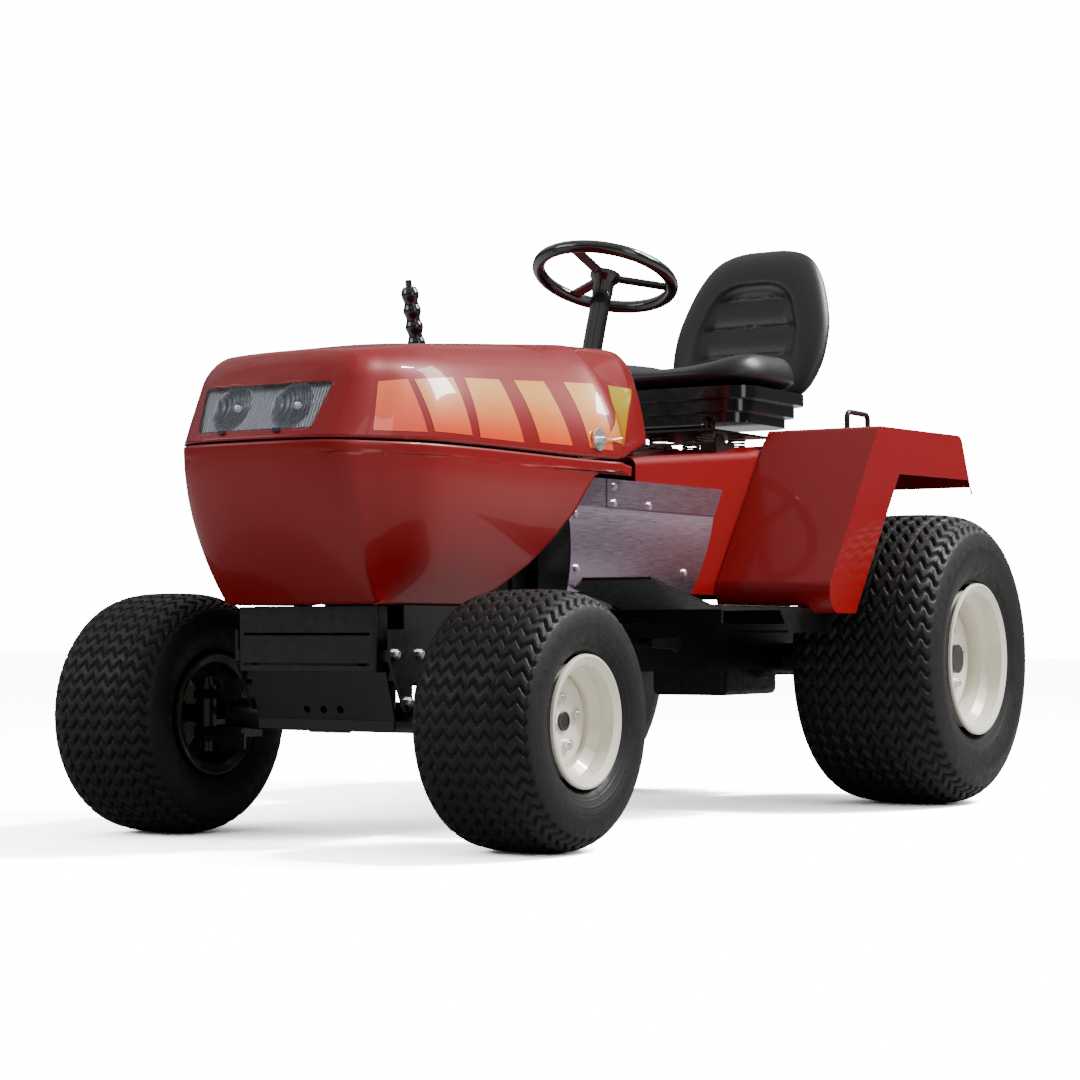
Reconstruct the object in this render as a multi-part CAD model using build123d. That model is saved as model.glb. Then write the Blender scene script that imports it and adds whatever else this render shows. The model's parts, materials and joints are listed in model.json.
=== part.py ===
from build123d import *
import math
import os

# Garden tractor. Millimetres, +Z up, the nose faces -Y, the driver's left is +X.
# The origin lies on the ground, on the centre plane, midway between the nose and the back of the rear tyres.

# ---------------------------------------------------------------- driving dimensions
WHEELBASE = 1495.0
FRONT_TRACK = 814.0
REAR_TRACK = 956.0
NOSE_OVERHANG = 287.4  # nose ahead of the front axle
FRONT_TYRE_R = 228.5  # 18 x 9.50-8
FRONT_TYRE_W = 244.0
FRONT_BEAD_R = 101.6
REAR_TYRE_R = 323.0  # 26 x 12.00-12
REAR_TYRE_W = 340.5
REAR_BEAD_R = 152.4
RAIL_X = 168.0  # outer face of a frame rail from the centre plane
RAIL_BOTTOM = 300.0
RAIL_HEIGHT = 130.0
SEAM_Z = 714.0  # split between hood and lower cowl
SHEET = 3.0  # body panels
RUN = 0.05  # radial clearance of a running fit
GAP = 0.5  # clearance between pieces that pass each other

FRONT_AXLE_Y = NOSE_OVERHANG - (NOSE_OVERHANG + WHEELBASE + REAR_TYRE_R) / 2
REAR_AXLE_Y = FRONT_AXLE_Y + WHEELBASE
FRONT_AXLE_Z = FRONT_TYRE_R
REAR_AXLE_Z = REAR_TYRE_R
RAIL_TOP = RAIL_BOTTOM + RAIL_HEIGHT
FRONT_WHEEL_X = FRONT_TRACK / 2
REAR_WHEEL_X = REAR_TRACK / 2


def front(offset):
    """Y of a place given behind the front axle."""
    return FRONT_AXLE_Y + offset


def rear(offset):
    """Y of a place given behind the rear axle."""
    return REAR_AXLE_Y + offset


# ---------------------------------------------------------------- shape helpers
def block(x0, x1, y0, y1, z0, z1):
    """A box between two corners."""
    centre = Pos((x0 + x1) / 2, (y0 + y1) / 2, (z0 + z1) / 2)
    return centre * Box(x1 - x0, y1 - y0, z1 - z0)


def rod(start, end, radius):
    """A round bar between two points."""
    start, end = Vector(start), Vector(end)
    along = Plane(origin=start, z_dir=end - start)
    return extrude(along * Circle(radius), (end - start).length)


def tube(start, end, radius, bore):
    """A round tube between two points."""
    start, end = Vector(start), Vector(end)
    along = Plane(origin=start, z_dir=end - start)
    return extrude(along * (Circle(radius) - Circle(bore)), (end - start).length)


def side_plate(points, x0, x1):
    """A plate cut from a closed outline of (y, z) points, from x0 to x1."""
    outline = Plane.YZ.offset(x0) * make_face(Polyline(*points, close=True))
    return extrude(outline, x1 - x0)


def bent_sheet(points, radii, thickness, x0, x1):
    """A sheet that follows (y, z) points with rounded bends and lies on their right, from x0 to x1."""
    path = FilletPolyline(*points, radius=radii)
    inner = path.offset_2d(thickness, side=Side.RIGHT, closed=True)
    return extrude(Plane.YZ.offset(x0) * make_face(inner), x1 - x0)


def bent_rod(points, radii, radius):
    """A round bar swept along points with rounded bends."""
    path = FilletPolyline(*points, radius=radii)
    return sweep(Plane(origin=path @ 0, z_dir=path % 0) * Circle(radius), path=path)


def spun(points, centre):
    """A ring turned about an axle along X: the outline is a closed wire of (axial, radial) places."""
    return Pos(*centre) * revolve(make_face(points), Axis.X)


def mirrored(shape):
    """The same piece on the other side of the centre plane."""
    return shape.mirror(Plane.YZ)


def both_sides(shape):
    """A piece and its mirror image."""
    return Compound([*shape.solids(), *mirrored(shape).solids()])


def group(*shapes):
    """Separate solids that share one node."""
    return Compound([solid for shape in shapes for solid in shape.solids()])


def hex_bolt(centre, direction, size, head):
    """A hexagon head that stands on a face, with a dome on top; size is the width across flats."""
    face = Plane(origin=centre, z_dir=direction)
    body = extrude(face * RegularPolygon(size / math.sqrt(3), 6), head)
    dome = Plane(origin=Vector(centre) + Vector(direction).normalized() * head, z_dir=direction)
    return body + extrude(dome * Circle(size * 0.36), head * 0.35)


# ---------------------------------------------------------------- tyres, rims and hubs
RIM_WALL = 4.0
BEAD_WIDTH = 14.0
FLANGE_HEIGHT = 15.0
WELL_DEPTH = 15.0


def tyre_outline(radius, width, bead_r, seat_x):
    """A tubeless tyre's section: wide crown, round shoulders, bulging walls and two beads."""
    half = width / 2
    wall = 11.0
    crown, shoulder = (0.62 * half, 0.981 * radius), (0.985 * half, 0.83 * radius)
    mid_shoulder = (0.88 * half, 0.925 * radius)
    bulge = (half, 0.755 * radius)
    toe = (seat_x, bead_r + FLANGE_HEIGHT + 1)
    inside = (seat_x - BEAD_WIDTH, bead_r + GAP)
    cavity_low = (seat_x - BEAD_WIDTH, bead_r + FLANGE_HEIGHT + 4)
    cavity_bulge = (half - wall - 3, 0.755 * radius)
    cavity_top = (0.7 * half, radius - 2.2 * wall)

    def flip(p):
        return (-p[0], p[1])

    arcs = [
        ThreePointArc(flip(crown), (0, radius), crown),
        ThreePointArc(crown, mid_shoulder, shoulder),
        ThreePointArc(shoulder, bulge, toe),
        Line(toe, (seat_x, bead_r + GAP)),
        Line((seat_x, bead_r + GAP), inside),
        Line(inside, cavity_low),
        ThreePointArc(cavity_low, cavity_bulge, cavity_top),
        Line(cavity_top, flip(cavity_top)),
        ThreePointArc(flip(cavity_top), flip(cavity_bulge), flip(cavity_low)),
        Line(flip(cavity_low), flip(inside)),
        Line(flip(inside), (-seat_x, bead_r + GAP)),
        Line((-seat_x, bead_r + GAP), flip(toe)),
        ThreePointArc(flip(toe), flip(bulge), flip(shoulder)),
        ThreePointArc(flip(shoulder), flip(mid_shoulder), flip(crown)),
    ]
    return arcs


def rim_outline(bead_r, flange_x):
    """The rolled barrel of a rim: flanges, bead seats and a drop centre, one sheet thick."""
    lip = bead_r + FLANGE_HEIGHT
    outer = [
        (flange_x, lip - 1),
        (flange_x - 5, lip),
        (flange_x - 9, bead_r),
        (flange_x - 34, bead_r),
        (flange_x - 46, bead_r - WELL_DEPTH),
    ]
    inner = [
        (flange_x - 46 - RIM_WALL * 0.4, bead_r - WELL_DEPTH - RIM_WALL),
        (flange_x - 34 + RIM_WALL * 0.4, bead_r - RIM_WALL),
        (flange_x - 9 + RIM_WALL * 0.8, bead_r - RIM_WALL),
        (flange_x + RIM_WALL * 0.4, lip - 5),
    ]
    return Polyline(*outer, *[(-x, r) for x, r in reversed(outer)], *[(-x, r) for x, r in inner[::-1]], *inner, close=True)


def disc_outline(disc_x, hub_r, bore_r, outer_r, root_x):
    """The dished disc of a rim, from its flat hub face out to the barrel."""
    t = RIM_WALL
    mid = (disc_x - 4, (hub_r + outer_r) / 2 + 6)
    front_edge = [
        Line((disc_x, bore_r), (disc_x, hub_r)),
        ThreePointArc((disc_x, hub_r), mid, (root_x, outer_r)),
        Line((root_x, outer_r), (root_x - t, outer_r)),
        ThreePointArc((root_x - t, outer_r), (mid[0] - t, mid[1] - t / 2), (disc_x - t, hub_r)),
        Line((disc_x - t, hub_r), (disc_x - t, bore_r)),
        Line((disc_x - t, bore_r), (disc_x, bore_r)),
    ]
    return front_edge


def stud_places(centre, disc_x, circle_r, count, first_angle):
    """Centres of a ring of studs on the disc's outer face."""
    places = []
    for i in range(count):
        turn = math.radians(first_angle + 360 / count * i)
        y = centre[1] + circle_r * math.cos(turn)
        z = centre[2] + circle_r * math.sin(turn)
        places.append((centre[0] + disc_x, y, z))
    return places


# front wheel
FRONT_FLANGE_X = 113.0  # outer plane of the rim flange from the wheel's middle
FRONT_DISC_X = 62.0
FRONT_HUB_R = 58.0
FRONT_DISC_BORE = 17.0
FRONT_STUD_R = 42.0
FRONT_STUDS = 4
FRONT_STUD_ANGLE = 15.0
# rear wheel
REAR_FLANGE_X = 160.0
REAR_DISC_X = 90.0
REAR_HUB_R = 84.0
REAR_DISC_BORE = 33.0
REAR_STUD_R = 63.5
REAR_STUDS = 5
REAR_STUD_ANGLE = 14.0
STUD_HOLE_R = 6.3
STUD_R = 6.0
NUT_SIZE = 17.0
NUT_HEIGHT = 8.0
DISC_ROOT_DROP = 44.0  # how far behind the hub face the disc meets the barrel

FRONT_CENTRE = (FRONT_WHEEL_X, FRONT_AXLE_Y, FRONT_AXLE_Z)
REAR_CENTRE = (REAR_WHEEL_X, REAR_AXLE_Y, REAR_AXLE_Z)


def make_tyre(centre, radius, width, bead_r, flange_x):
    return spun(tyre_outline(radius, width, bead_r, flange_x - 9.6), centre)


def make_rim(centre, bead_r, flange_x, disc_x, hub_r, bore_r, studs):
    barrel = spun(rim_outline(bead_r, flange_x), centre)
    barrel_r = bead_r - WELL_DEPTH - RIM_WALL / 2
    disc = spun(disc_outline(disc_x, hub_r, bore_r, barrel_r, disc_x - DISC_ROOT_DROP), centre)
    rim = barrel + disc
    for place in studs:
        x, y, z = place
        rim -= rod((x - 2 * RIM_WALL, y, z), (x + RIM_WALL, y, z), STUD_HOLE_R)
    valve_r = barrel_r - 2
    valve = rod((centre[0] + disc_x - 4, centre[1] - valve_r, centre[2]),
                (centre[0] + disc_x + 26, centre[1] - valve_r + 9, centre[2]), 4.0)
    return rim + valve


def wheel_studs(studs, back):
    """Studs with their nuts, from the hub flange out through the disc."""
    pieces = []
    for x, y, z in studs:
        pieces.append(rod((x - back, y, z), (x + NUT_HEIGHT + 3, y, z), STUD_R))
        pieces.append(extrude(Plane(origin=(x, y, z), z_dir=(1, 0, 0)) * RegularPolygon(NUT_SIZE / math.sqrt(3), 6), NUT_HEIGHT))
    return pieces


FRONT_STUD_PLACES = stud_places(FRONT_CENTRE, FRONT_DISC_X, FRONT_STUD_R, FRONT_STUDS, FRONT_STUD_ANGLE)
REAR_STUD_PLACES = stud_places(REAR_CENTRE, REAR_DISC_X, REAR_STUD_R, REAR_STUDS, REAR_STUD_ANGLE)

# ---------------------------------------------------------------- front axle and steering knuckles
KINGPIN_X = 322.0
KINGPIN_R = 12.0
KINGPIN_BOTTOM = 157.0
KINGPIN_TOP = 297.0
EAR_TOP_Z = 273.0
EAR_BOTTOM_Z = 187.0
EAR_THICKNESS = 16.0
EAR_R = 24.0
STUB_R = 12.5
HUB_BARREL_R = 26.0
HUB_FLANGE_R = 54.0
HUB_FLANGE_T = 6.0
BEAM_R = 28.0
BEAM_WALL = 5.0
YOKE_X = 245.0
PIVOT_PIN_R = 12.0
PIVOT_BOSS_R = 24.0
PIVOT_HALF = 37.0  # half of the pivot boss's length
HANGER_T = 6.0
STEER_ARM = 70.0  # all parallel steering arms
ROD_R = 8.0
EYE_R = 13.0
BALL_PIN_R = 6.0
OPEN_PIN_CLEARANCE = 4.0

KINGPIN_XY = (KINGPIN_X, FRONT_AXLE_Y)
TIE_Z = FRONT_AXLE_Z
TIE_Y = FRONT_AXLE_Y + STEER_ARM
SPINDLE_BARREL_R = 19.0


def make_axle_beam():
    """Front axle: a tube with a pivot boss and a two-eared yoke on each end."""
    beam = tube((-YOKE_X, FRONT_AXLE_Y, FRONT_AXLE_Z), (YOKE_X, FRONT_AXLE_Y, FRONT_AXLE_Z), BEAM_R, BEAM_R - BEAM_WALL)
    boss_ends = [(0, FRONT_AXLE_Y - PIVOT_HALF, FRONT_AXLE_Z), (0, FRONT_AXLE_Y + PIVOT_HALF, FRONT_AXLE_Z)]
    beam += rod(*boss_ends, PIVOT_BOSS_R)
    beam -= rod(*boss_ends, PIVOT_PIN_R + RUN)
    for side in (1, -1):
        beam += yoke(side)
    return beam


def yoke(side):
    web_t = 12.0
    web = block(YOKE_X, YOKE_X + web_t, FRONT_AXLE_Y - EAR_R, FRONT_AXLE_Y + EAR_R, EAR_BOTTOM_Z, EAR_TOP_Z)
    piece = web
    for low in (EAR_BOTTOM_Z, EAR_TOP_Z - EAR_THICKNESS):
        ear = block(YOKE_X, KINGPIN_X, FRONT_AXLE_Y - EAR_R, FRONT_AXLE_Y + EAR_R, low, low + EAR_THICKNESS)
        ear += rod((*KINGPIN_XY, low), (*KINGPIN_XY, low + EAR_THICKNESS), EAR_R)
        piece += ear
    piece -= rod((*KINGPIN_XY, EAR_BOTTOM_Z - 5), (*KINGPIN_XY, EAR_TOP_Z + 5), KINGPIN_R + RUN)
    face_y = FRONT_AXLE_Y - EAR_R
    for low, high in ((164.0, 205.0), (253.0, 295.0)):
        plate = block(207.0, YOKE_X + web_t, face_y - 6, face_y, low, high)
        piece += plate
    piece += block(207.0, YOKE_X, face_y - 0.1, FRONT_AXLE_Y + EAR_R, EAR_BOTTOM_Z, 205.0)
    piece += block(207.0, YOKE_X, face_y - 0.1, FRONT_AXLE_Y + EAR_R, 253.0, EAR_TOP_Z)
    for bolt_z in (198.0, 264.0):
        piece += hex_bolt((215.0, face_y - 6, bolt_z), (0, -1, 0), 15.0, 7.0)
    return piece if side > 0 else mirrored(piece)


def make_spindle(side):
    """Steering knuckle: kingpin, barrel, stub axle and the arm for the tie rod."""
    barrel_low = EAR_BOTTOM_Z + EAR_THICKNESS + GAP
    barrel_high = EAR_TOP_Z - EAR_THICKNESS - GAP
    x = side * KINGPIN_X
    pin = rod((x, FRONT_AXLE_Y, KINGPIN_BOTTOM), (x, FRONT_AXLE_Y, KINGPIN_TOP), KINGPIN_R)
    piece = pin + rod((x, FRONT_AXLE_Y, barrel_low), (x, FRONT_AXLE_Y, barrel_high), SPINDLE_BARREL_R)
    collar_z = EAR_TOP_Z + GAP
    piece += rod((x, FRONT_AXLE_Y, collar_z), (x, FRONT_AXLE_Y, collar_z + 8), 18.0)
    nut = Plane(origin=(x, FRONT_AXLE_Y, EAR_BOTTOM_Z - GAP - 12))
    piece += extrude(nut * RegularPolygon(17.0, 6), 12)
    stub_end = side * (FRONT_WHEEL_X + FRONT_DISC_X + 4)
    piece += rod((x, FRONT_AXLE_Y, FRONT_AXLE_Z), (stub_end, FRONT_AXLE_Y, FRONT_AXLE_Z), STUB_R)
    shoulder = side * (FRONT_WHEEL_X - 22)
    piece += rod((x, FRONT_AXLE_Y, FRONT_AXLE_Z), (shoulder, FRONT_AXLE_Y, FRONT_AXLE_Z), STUB_R + 5)
    arm_low = TIE_Z - 22
    arm = block(x - 9, x + 9, FRONT_AXLE_Y, TIE_Y, arm_low, arm_low + 10)
    arm += rod((x, TIE_Y, arm_low), (x, TIE_Y, arm_low + 10), EYE_R)
    ball_pin = rod((x, TIE_Y, arm_low), (x, TIE_Y, TIE_Z + 12), BALL_PIN_R)
    return piece + arm + ball_pin


def make_tie_rod():
    """Tie rod between the two knuckle arms, with a middle bracket that the bellcrank drives."""
    left, right = (KINGPIN_X, TIE_Y, TIE_Z), (-KINGPIN_X, TIE_Y, TIE_Z)
    piece = rod(right, left, ROD_R)
    low, high = TIE_Z - 9, TIE_Z + 9
    for x in (KINGPIN_X, -KINGPIN_X):
        piece += rod((x, TIE_Y, low), (x, TIE_Y, high), EYE_R + 1)
    piece += block(-18, 18, TIE_Y, TIE_Y + BRACKET_REACH, TIE_Z - 4, TIE_Z + 4)
    piece += rod((0, TIE_Y + BRACKET_REACH, TIE_Z - 4), (0, TIE_Y + BRACKET_REACH, TIE_Z + 4), 18)
    piece -= rod((KINGPIN_X, TIE_Y, low - 5), (KINGPIN_X, TIE_Y, high + 5), BALL_PIN_R + RUN)
    piece -= rod((-KINGPIN_X, TIE_Y, low - 5), (-KINGPIN_X, TIE_Y, high + 5), BALL_PIN_R + 1.0)
    centre_hole = BALL_PIN_R + OPEN_PIN_CLEARANCE
    piece -= rod((0, TIE_Y + BRACKET_REACH, low), (0, TIE_Y + BRACKET_REACH, high), centre_hole)
    return piece


BRACKET_REACH = 60.0
CRANK_SHAFT_R = 10.0
CRANK_Y = FRONT_AXLE_Y + BRACKET_REACH
DRAG_Z = 322.0
ARM_T = 10.0
CRANK_ARM_Z = 262.0
PITMAN_Y = front(637.0)
GEARBOX_Y = front(695.0)


def arm_plate(start, end, z, thickness, eye):
    """A flat arm with round ends between two (x, y) places, its bottom at z."""
    (x0, y0), (x1, y1) = start, end
    width = eye * 0.75
    if x0 == x1:
        bar = block(x0 - width, x0 + width, min(y0, y1), max(y0, y1), z, z + thickness)
    else:
        bar = block(min(x0, x1), max(x0, x1), y0 - width, y0 + width, z, z + thickness)
    for x, y in (start, end):
        bar += rod((x, y, z), (x, y, z + thickness), eye)
    return bar


def make_bellcrank():
    """Bellcrank under the front crossmember: one arm to the drag link, one to the tie rod."""
    piece = rod((0, CRANK_Y, CRANK_ARM_Z - 5), (0, CRANK_Y, CRANK_TUBE_TOP), CRANK_SHAFT_R)
    piece += rod((0, CRANK_Y, CRANK_TUBE_TOP), (0, CRANK_Y, CRANK_TUBE_TOP + 6), CRANK_SHAFT_R + 5)
    piece += arm_plate((0, CRANK_Y), (STEER_ARM, CRANK_Y), DRAG_Z - ARM_T - 6, ARM_T, EYE_R)
    piece += arm_plate((0, CRANK_Y), (0, CRANK_Y + STEER_ARM), CRANK_ARM_Z - 5, ARM_T, EYE_R)
    piece += rod((0, CRANK_Y + STEER_ARM, TIE_Z - 8), (0, CRANK_Y + STEER_ARM, CRANK_ARM_Z), BALL_PIN_R)
    piece += rod((STEER_ARM, CRANK_Y, DRAG_Z - 12), (STEER_ARM, CRANK_Y, DRAG_Z + 12), BALL_PIN_R)
    return piece


CRANK_TUBE_TOP = 402.0
CRANK_TUBE_BOTTOM = 330.0


def make_drag_link():
    """Drag link from the pitman arm to the bellcrank."""
    low, high = DRAG_Z - 5.5, DRAG_Z + 9
    piece = rod((STEER_ARM, CRANK_Y, DRAG_Z + 2), (STEER_ARM, PITMAN_Y, DRAG_Z + 2), ROD_R - 1)
    for y, slack in ((CRANK_Y, RUN), (PITMAN_Y, 1.0)):
        piece += rod((STEER_ARM, y, low), (STEER_ARM, y, high), EYE_R)
        piece -= rod((STEER_ARM, y, low - 5), (STEER_ARM, y, high + 5), BALL_PIN_R + slack)
    return piece


PITMAN_SHAFT_R = 14.0
GEARBOX_LOW = 338.0
GEARBOX_HIGH = 425.0


def make_pitman_arm():
    """Output shaft of the steering gearbox, with the arm that drives the drag link."""
    piece = rod((0, PITMAN_Y, DRAG_Z - ARM_T - 6), (0, PITMAN_Y, GEARBOX_HIGH - 20), PITMAN_SHAFT_R)
    piece += arm_plate((0, PITMAN_Y), (STEER_ARM, PITMAN_Y), DRAG_Z - ARM_T - 6, ARM_T, EYE_R + 3)
    piece += rod((STEER_ARM, PITMAN_Y, DRAG_Z - 12), (STEER_ARM, PITMAN_Y, DRAG_Z + 12), BALL_PIN_R)
    return piece


# ---------------------------------------------------------------- steering column
COLUMN_TILT = 19.07
WHEEL_HUB_Y = front(948.4)
WHEEL_HUB_Z = 1152.5
WHEEL_RING_R = 147.0
WHEEL_TUBE_R = 13.5
HUB_CAP_R = 33.0
SLEEVE_R = 21.5
COLUMN_TUBE_R = 16.0
SHAFT_R = 10.0
SLEEVE_LENGTH = 140.0
SHAFT_LENGTH = 775.0
COLUMN_TUBE_LENGTH = 420.0
tilt = math.radians(COLUMN_TILT)
COLUMN_AXIS = (0, math.sin(tilt), math.cos(tilt))
COLUMN = Plane(origin=(0, WHEEL_HUB_Y, WHEEL_HUB_Z), x_dir=(1, 0, 0), z_dir=COLUMN_AXIS)
HUB_DROP = 40.0  # from the ring's plane down to the hub's foot


def on_column(distance):
    """A point on the steering axis, this far below the wheel."""
    return Vector(0, WHEEL_HUB_Y, WHEEL_HUB_Z) - Vector(*COLUMN_AXIS) * distance


def make_steering_wheel():
    """Ring, three spokes and a flared hub, splined on the shaft's top."""
    ring = Torus(WHEEL_RING_R, WHEEL_TUBE_R)
    hub = Pos(0, 0, -HUB_DROP / 2 - 6) * Cylinder(SLEEVE_R + 1, HUB_DROP - 12)
    hub += Pos(0, 0, -9) * Cone(SLEEVE_R + 1, HUB_CAP_R, 12)
    hub += Pos(0, 0, 2) * Cylinder(HUB_CAP_R, 10)
    wheel = ring + hub
    for angle in (-90, 30, 150):
        spoke = Pos(WHEEL_RING_R / 2, 0, 0) * Box(WHEEL_RING_R, 22, 8)
        wheel += Rot(0, 0, angle) * spoke
    wheel -= Pos(0, 0, -HUB_DROP) * Cylinder(SHAFT_R, HUB_DROP * 1.9)
    return COLUMN.location * wheel


def make_steering_shaft():
    return rod(on_column(SHAFT_LENGTH), on_column(2), SHAFT_R)


def make_column_tube():
    """Fixed tube round the shaft with a wider sleeve at its top."""
    top = HUB_DROP + GAP
    sleeve_foot = top + SLEEVE_LENGTH
    tube_foot = sleeve_foot + COLUMN_TUBE_LENGTH
    piece = tube(on_column(sleeve_foot), on_column(top), SLEEVE_R, SHAFT_R + RUN)
    return piece + tube(on_column(tube_foot), on_column(sleeve_foot - 4), COLUMN_TUBE_R, SHAFT_R + RUN)


def make_gearbox():
    """Steering gearbox: the inclined shaft comes in at the top, the pitman shaft leaves below."""
    box_y0, box_y1 = PITMAN_Y - 30, GEARBOX_Y + 45
    piece = block(-45, 45, box_y0, box_y1, GEARBOX_LOW, GEARBOX_HIGH)
    piece = fillet(piece.edges().filter_by(Axis.Z), 12)
    piece -= rod(on_column(SHAFT_LENGTH + 3), on_column(SHAFT_LENGTH - 150), SHAFT_R + RUN)
    piece -= rod((0, PITMAN_Y, GEARBOX_LOW - 5), (0, PITMAN_Y, GEARBOX_HIGH - 18), PITMAN_SHAFT_R + RUN)
    return piece


# ---------------------------------------------------------------- frame
RAIL_T = 5.0
RAIL_FLANGE = 36.0
RAIL_FRONT = front(-48.0)
RAIL_REAR = rear(235.0)
CROSS_T = 6.0
HITCH_T = 8.0
HITCH_HOLE_R = 10.0
HITCH_Y = rear(285.0)
HANGER_HOLE_R = 5.5
HANGER_SPACING = 100.0
HANGER_Y = rear(-300.0)
HANGER_Z = 330.0


def make_frame():
    """Two channel rails, crossmembers, the bellcrank tube and the hitch plate, welded together."""
    web = block(RAIL_X - RAIL_T, RAIL_X, RAIL_FRONT, RAIL_REAR, RAIL_BOTTOM, RAIL_TOP)
    rail = web
    for low in (RAIL_BOTTOM, RAIL_TOP - RAIL_T):
        rail += block(RAIL_X - RAIL_FLANGE, RAIL_X, RAIL_FRONT, RAIL_REAR, low, low + RAIL_T)
    rail -= rod((0, REAR_AXLE_Y, REAR_AXLE_Z), (RAIL_X + 5, REAR_AXLE_Y, REAR_AXLE_Z), AXLE_TUBE_R + 2)
    rail -= rod((0, LEVER_Y, LEVER_Z), (RAIL_X + 5, LEVER_Y, LEVER_Z), LEVER_SHAFT_R + RUN)
    for shift in (-HANGER_SPACING / 2, HANGER_SPACING / 2):
        y = HANGER_Y + shift
        rail -= rod((RAIL_X - 20, y, HANGER_Z), (RAIL_X + 5, y, HANGER_Z), HANGER_HOLE_R)
    frame = rail + mirrored(rail)
    inner = RAIL_X - RAIL_T
    for y in (CRANK_Y + 30, front(560.0), rear(-420.0)):
        frame += block(-inner, inner, y, y + 40, RAIL_TOP - CROSS_T, RAIL_TOP)
    frame += block(-inner, inner, CRANK_Y - 30, CRANK_Y + 31, RAIL_TOP - CROSS_T, RAIL_TOP)
    crank_ends = [(0, CRANK_Y, CRANK_TUBE_BOTTOM), (0, CRANK_Y, CRANK_TUBE_TOP - GAP)]
    frame += rod(*crank_ends, CRANK_SHAFT_R + 7)
    for side in (-1, 1):
        frame += block(min(side * 16, side * inner), max(side * 16, side * inner), CRANK_Y - 4, CRANK_Y + 4,
                       CRANK_TUBE_BOTTOM + 20, RAIL_TOP)
    frame -= rod((0, CRANK_Y, CRANK_TUBE_BOTTOM - 5), (0, CRANK_Y, CRANK_TUBE_TOP + 15), CRANK_SHAFT_R + RUN)
    frame -= rod((0, CRANK_Y, CRANK_TUBE_TOP - GAP), (0, CRANK_Y, CRANK_TUBE_TOP + 15), CRANK_SHAFT_R + 8)
    frame += block(-inner, inner, RAIL_REAR - CROSS_T, RAIL_REAR, RAIL_BOTTOM - 20, RAIL_TOP)
    plate_z = RAIL_BOTTOM - 20
    frame += block(-60, 60, RAIL_REAR - 40, HITCH_Y, plate_z, plate_z + HITCH_T)
    frame += rod((0, HITCH_Y, plate_z), (0, HITCH_Y, plate_z + HITCH_T), 30)
    frame -= rod((0, HITCH_Y, plate_z - 5), (0, HITCH_Y, plate_z + HITCH_T + 5), HITCH_HOLE_R)
    return frame


def make_axle_support():
    """Side plates on the rails and two hangers that hold the axle's pivot pin."""
    t = HANGER_T
    x0 = RAIL_X
    outline = [
        (front(-98), 387), (front(34), 387), (front(34), 316), (front(-30), 288),
        (front(-30), 250), (front(-38), 240), (front(-48), 240), (front(-56), 250), (front(-98), 330),
    ]
    plate = side_plate(outline, x0, x0 + t)
    piece = plate + mirrored(plate)
    for y in (FRONT_AXLE_Y - PIVOT_HALF - 1 - t, FRONT_AXLE_Y + PIVOT_HALF + 1):
        hanger = block(-RAIL_X + RAIL_T, RAIL_X - RAIL_T, y, y + t, 285, RAIL_BOTTOM)
        hanger += block(-45, 45, y, y + t, 200, 290)
        piece += hanger
    pin_ends = [(0, FRONT_AXLE_Y - PIVOT_HALF - 10, FRONT_AXLE_Z), (0, FRONT_AXLE_Y + PIVOT_HALF + 10, FRONT_AXLE_Z)]
    spacers = block(PLATE_HALF + 1, RAIL_X, front(-76), front(-56), 296, 312)
    spacers += block(GRILLE_HALF, RAIL_X, front(-98), front(-84), 330, 350)
    piece += spacers + mirrored(spacers)
    return piece + rod(*pin_ends, PIVOT_PIN_R)


GRILLE_Y = front(-114.4)
GRILLE_HALF = 155.0
GRILLE_LOW = 312.0
GRILLE_HIGH = 428.0
GRILLE_DEPTH = 34.0
COWL_BOTTOM = 430.0


def make_grille():
    """Pressed front panel: a shallow tray with two louvres."""
    t = 2.5
    piece = block(-GRILLE_HALF, GRILLE_HALF, GRILLE_Y, GRILLE_Y + GRILLE_DEPTH, GRILLE_LOW, GRILLE_HIGH)
    piece = fillet(piece.edges().filter_by(Axis.Z).sort_by(Axis.Y)[:2], 8)
    hollow = block(-GRILLE_HALF + t, GRILLE_HALF - t, GRILLE_Y + t, GRILLE_Y + GRILLE_DEPTH + 1, GRILLE_LOW + t, GRILLE_HIGH - t)
    piece -= hollow
    for z in (322.0, 376.0):
        piece -= block(-GRILLE_HALF + 14, GRILLE_HALF - 14, GRILLE_Y - 1, GRILLE_Y + t + 1, z, z + 5)
        louvre = block(-GRILLE_HALF + 14, GRILLE_HALF - 14, GRILLE_Y + t - 0.5, GRILLE_Y + 16, z + 5, z + 7)
        piece += louvre
    return piece


PLATE_T = 5.0
PLATE_HALF = 152.0
PLATE_TOP = (front(-82.0), 311.0)
PLATE_FOOT = (front(-53.5), 222.0)
PLATE_HOLE_R = 7.25
PLATE_HOLE_SPACING = 37.4
plate_run = Vector(0, PLATE_FOOT[0] - PLATE_TOP[0], PLATE_FOOT[1] - PLATE_TOP[1])
PLATE_NORMAL = Vector(0, plate_run.Z, -plate_run.Y).normalized()  # out of the plate, forward and down
HOLE_ALONG = 0.77  # share of the slope at which the holes lie


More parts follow.
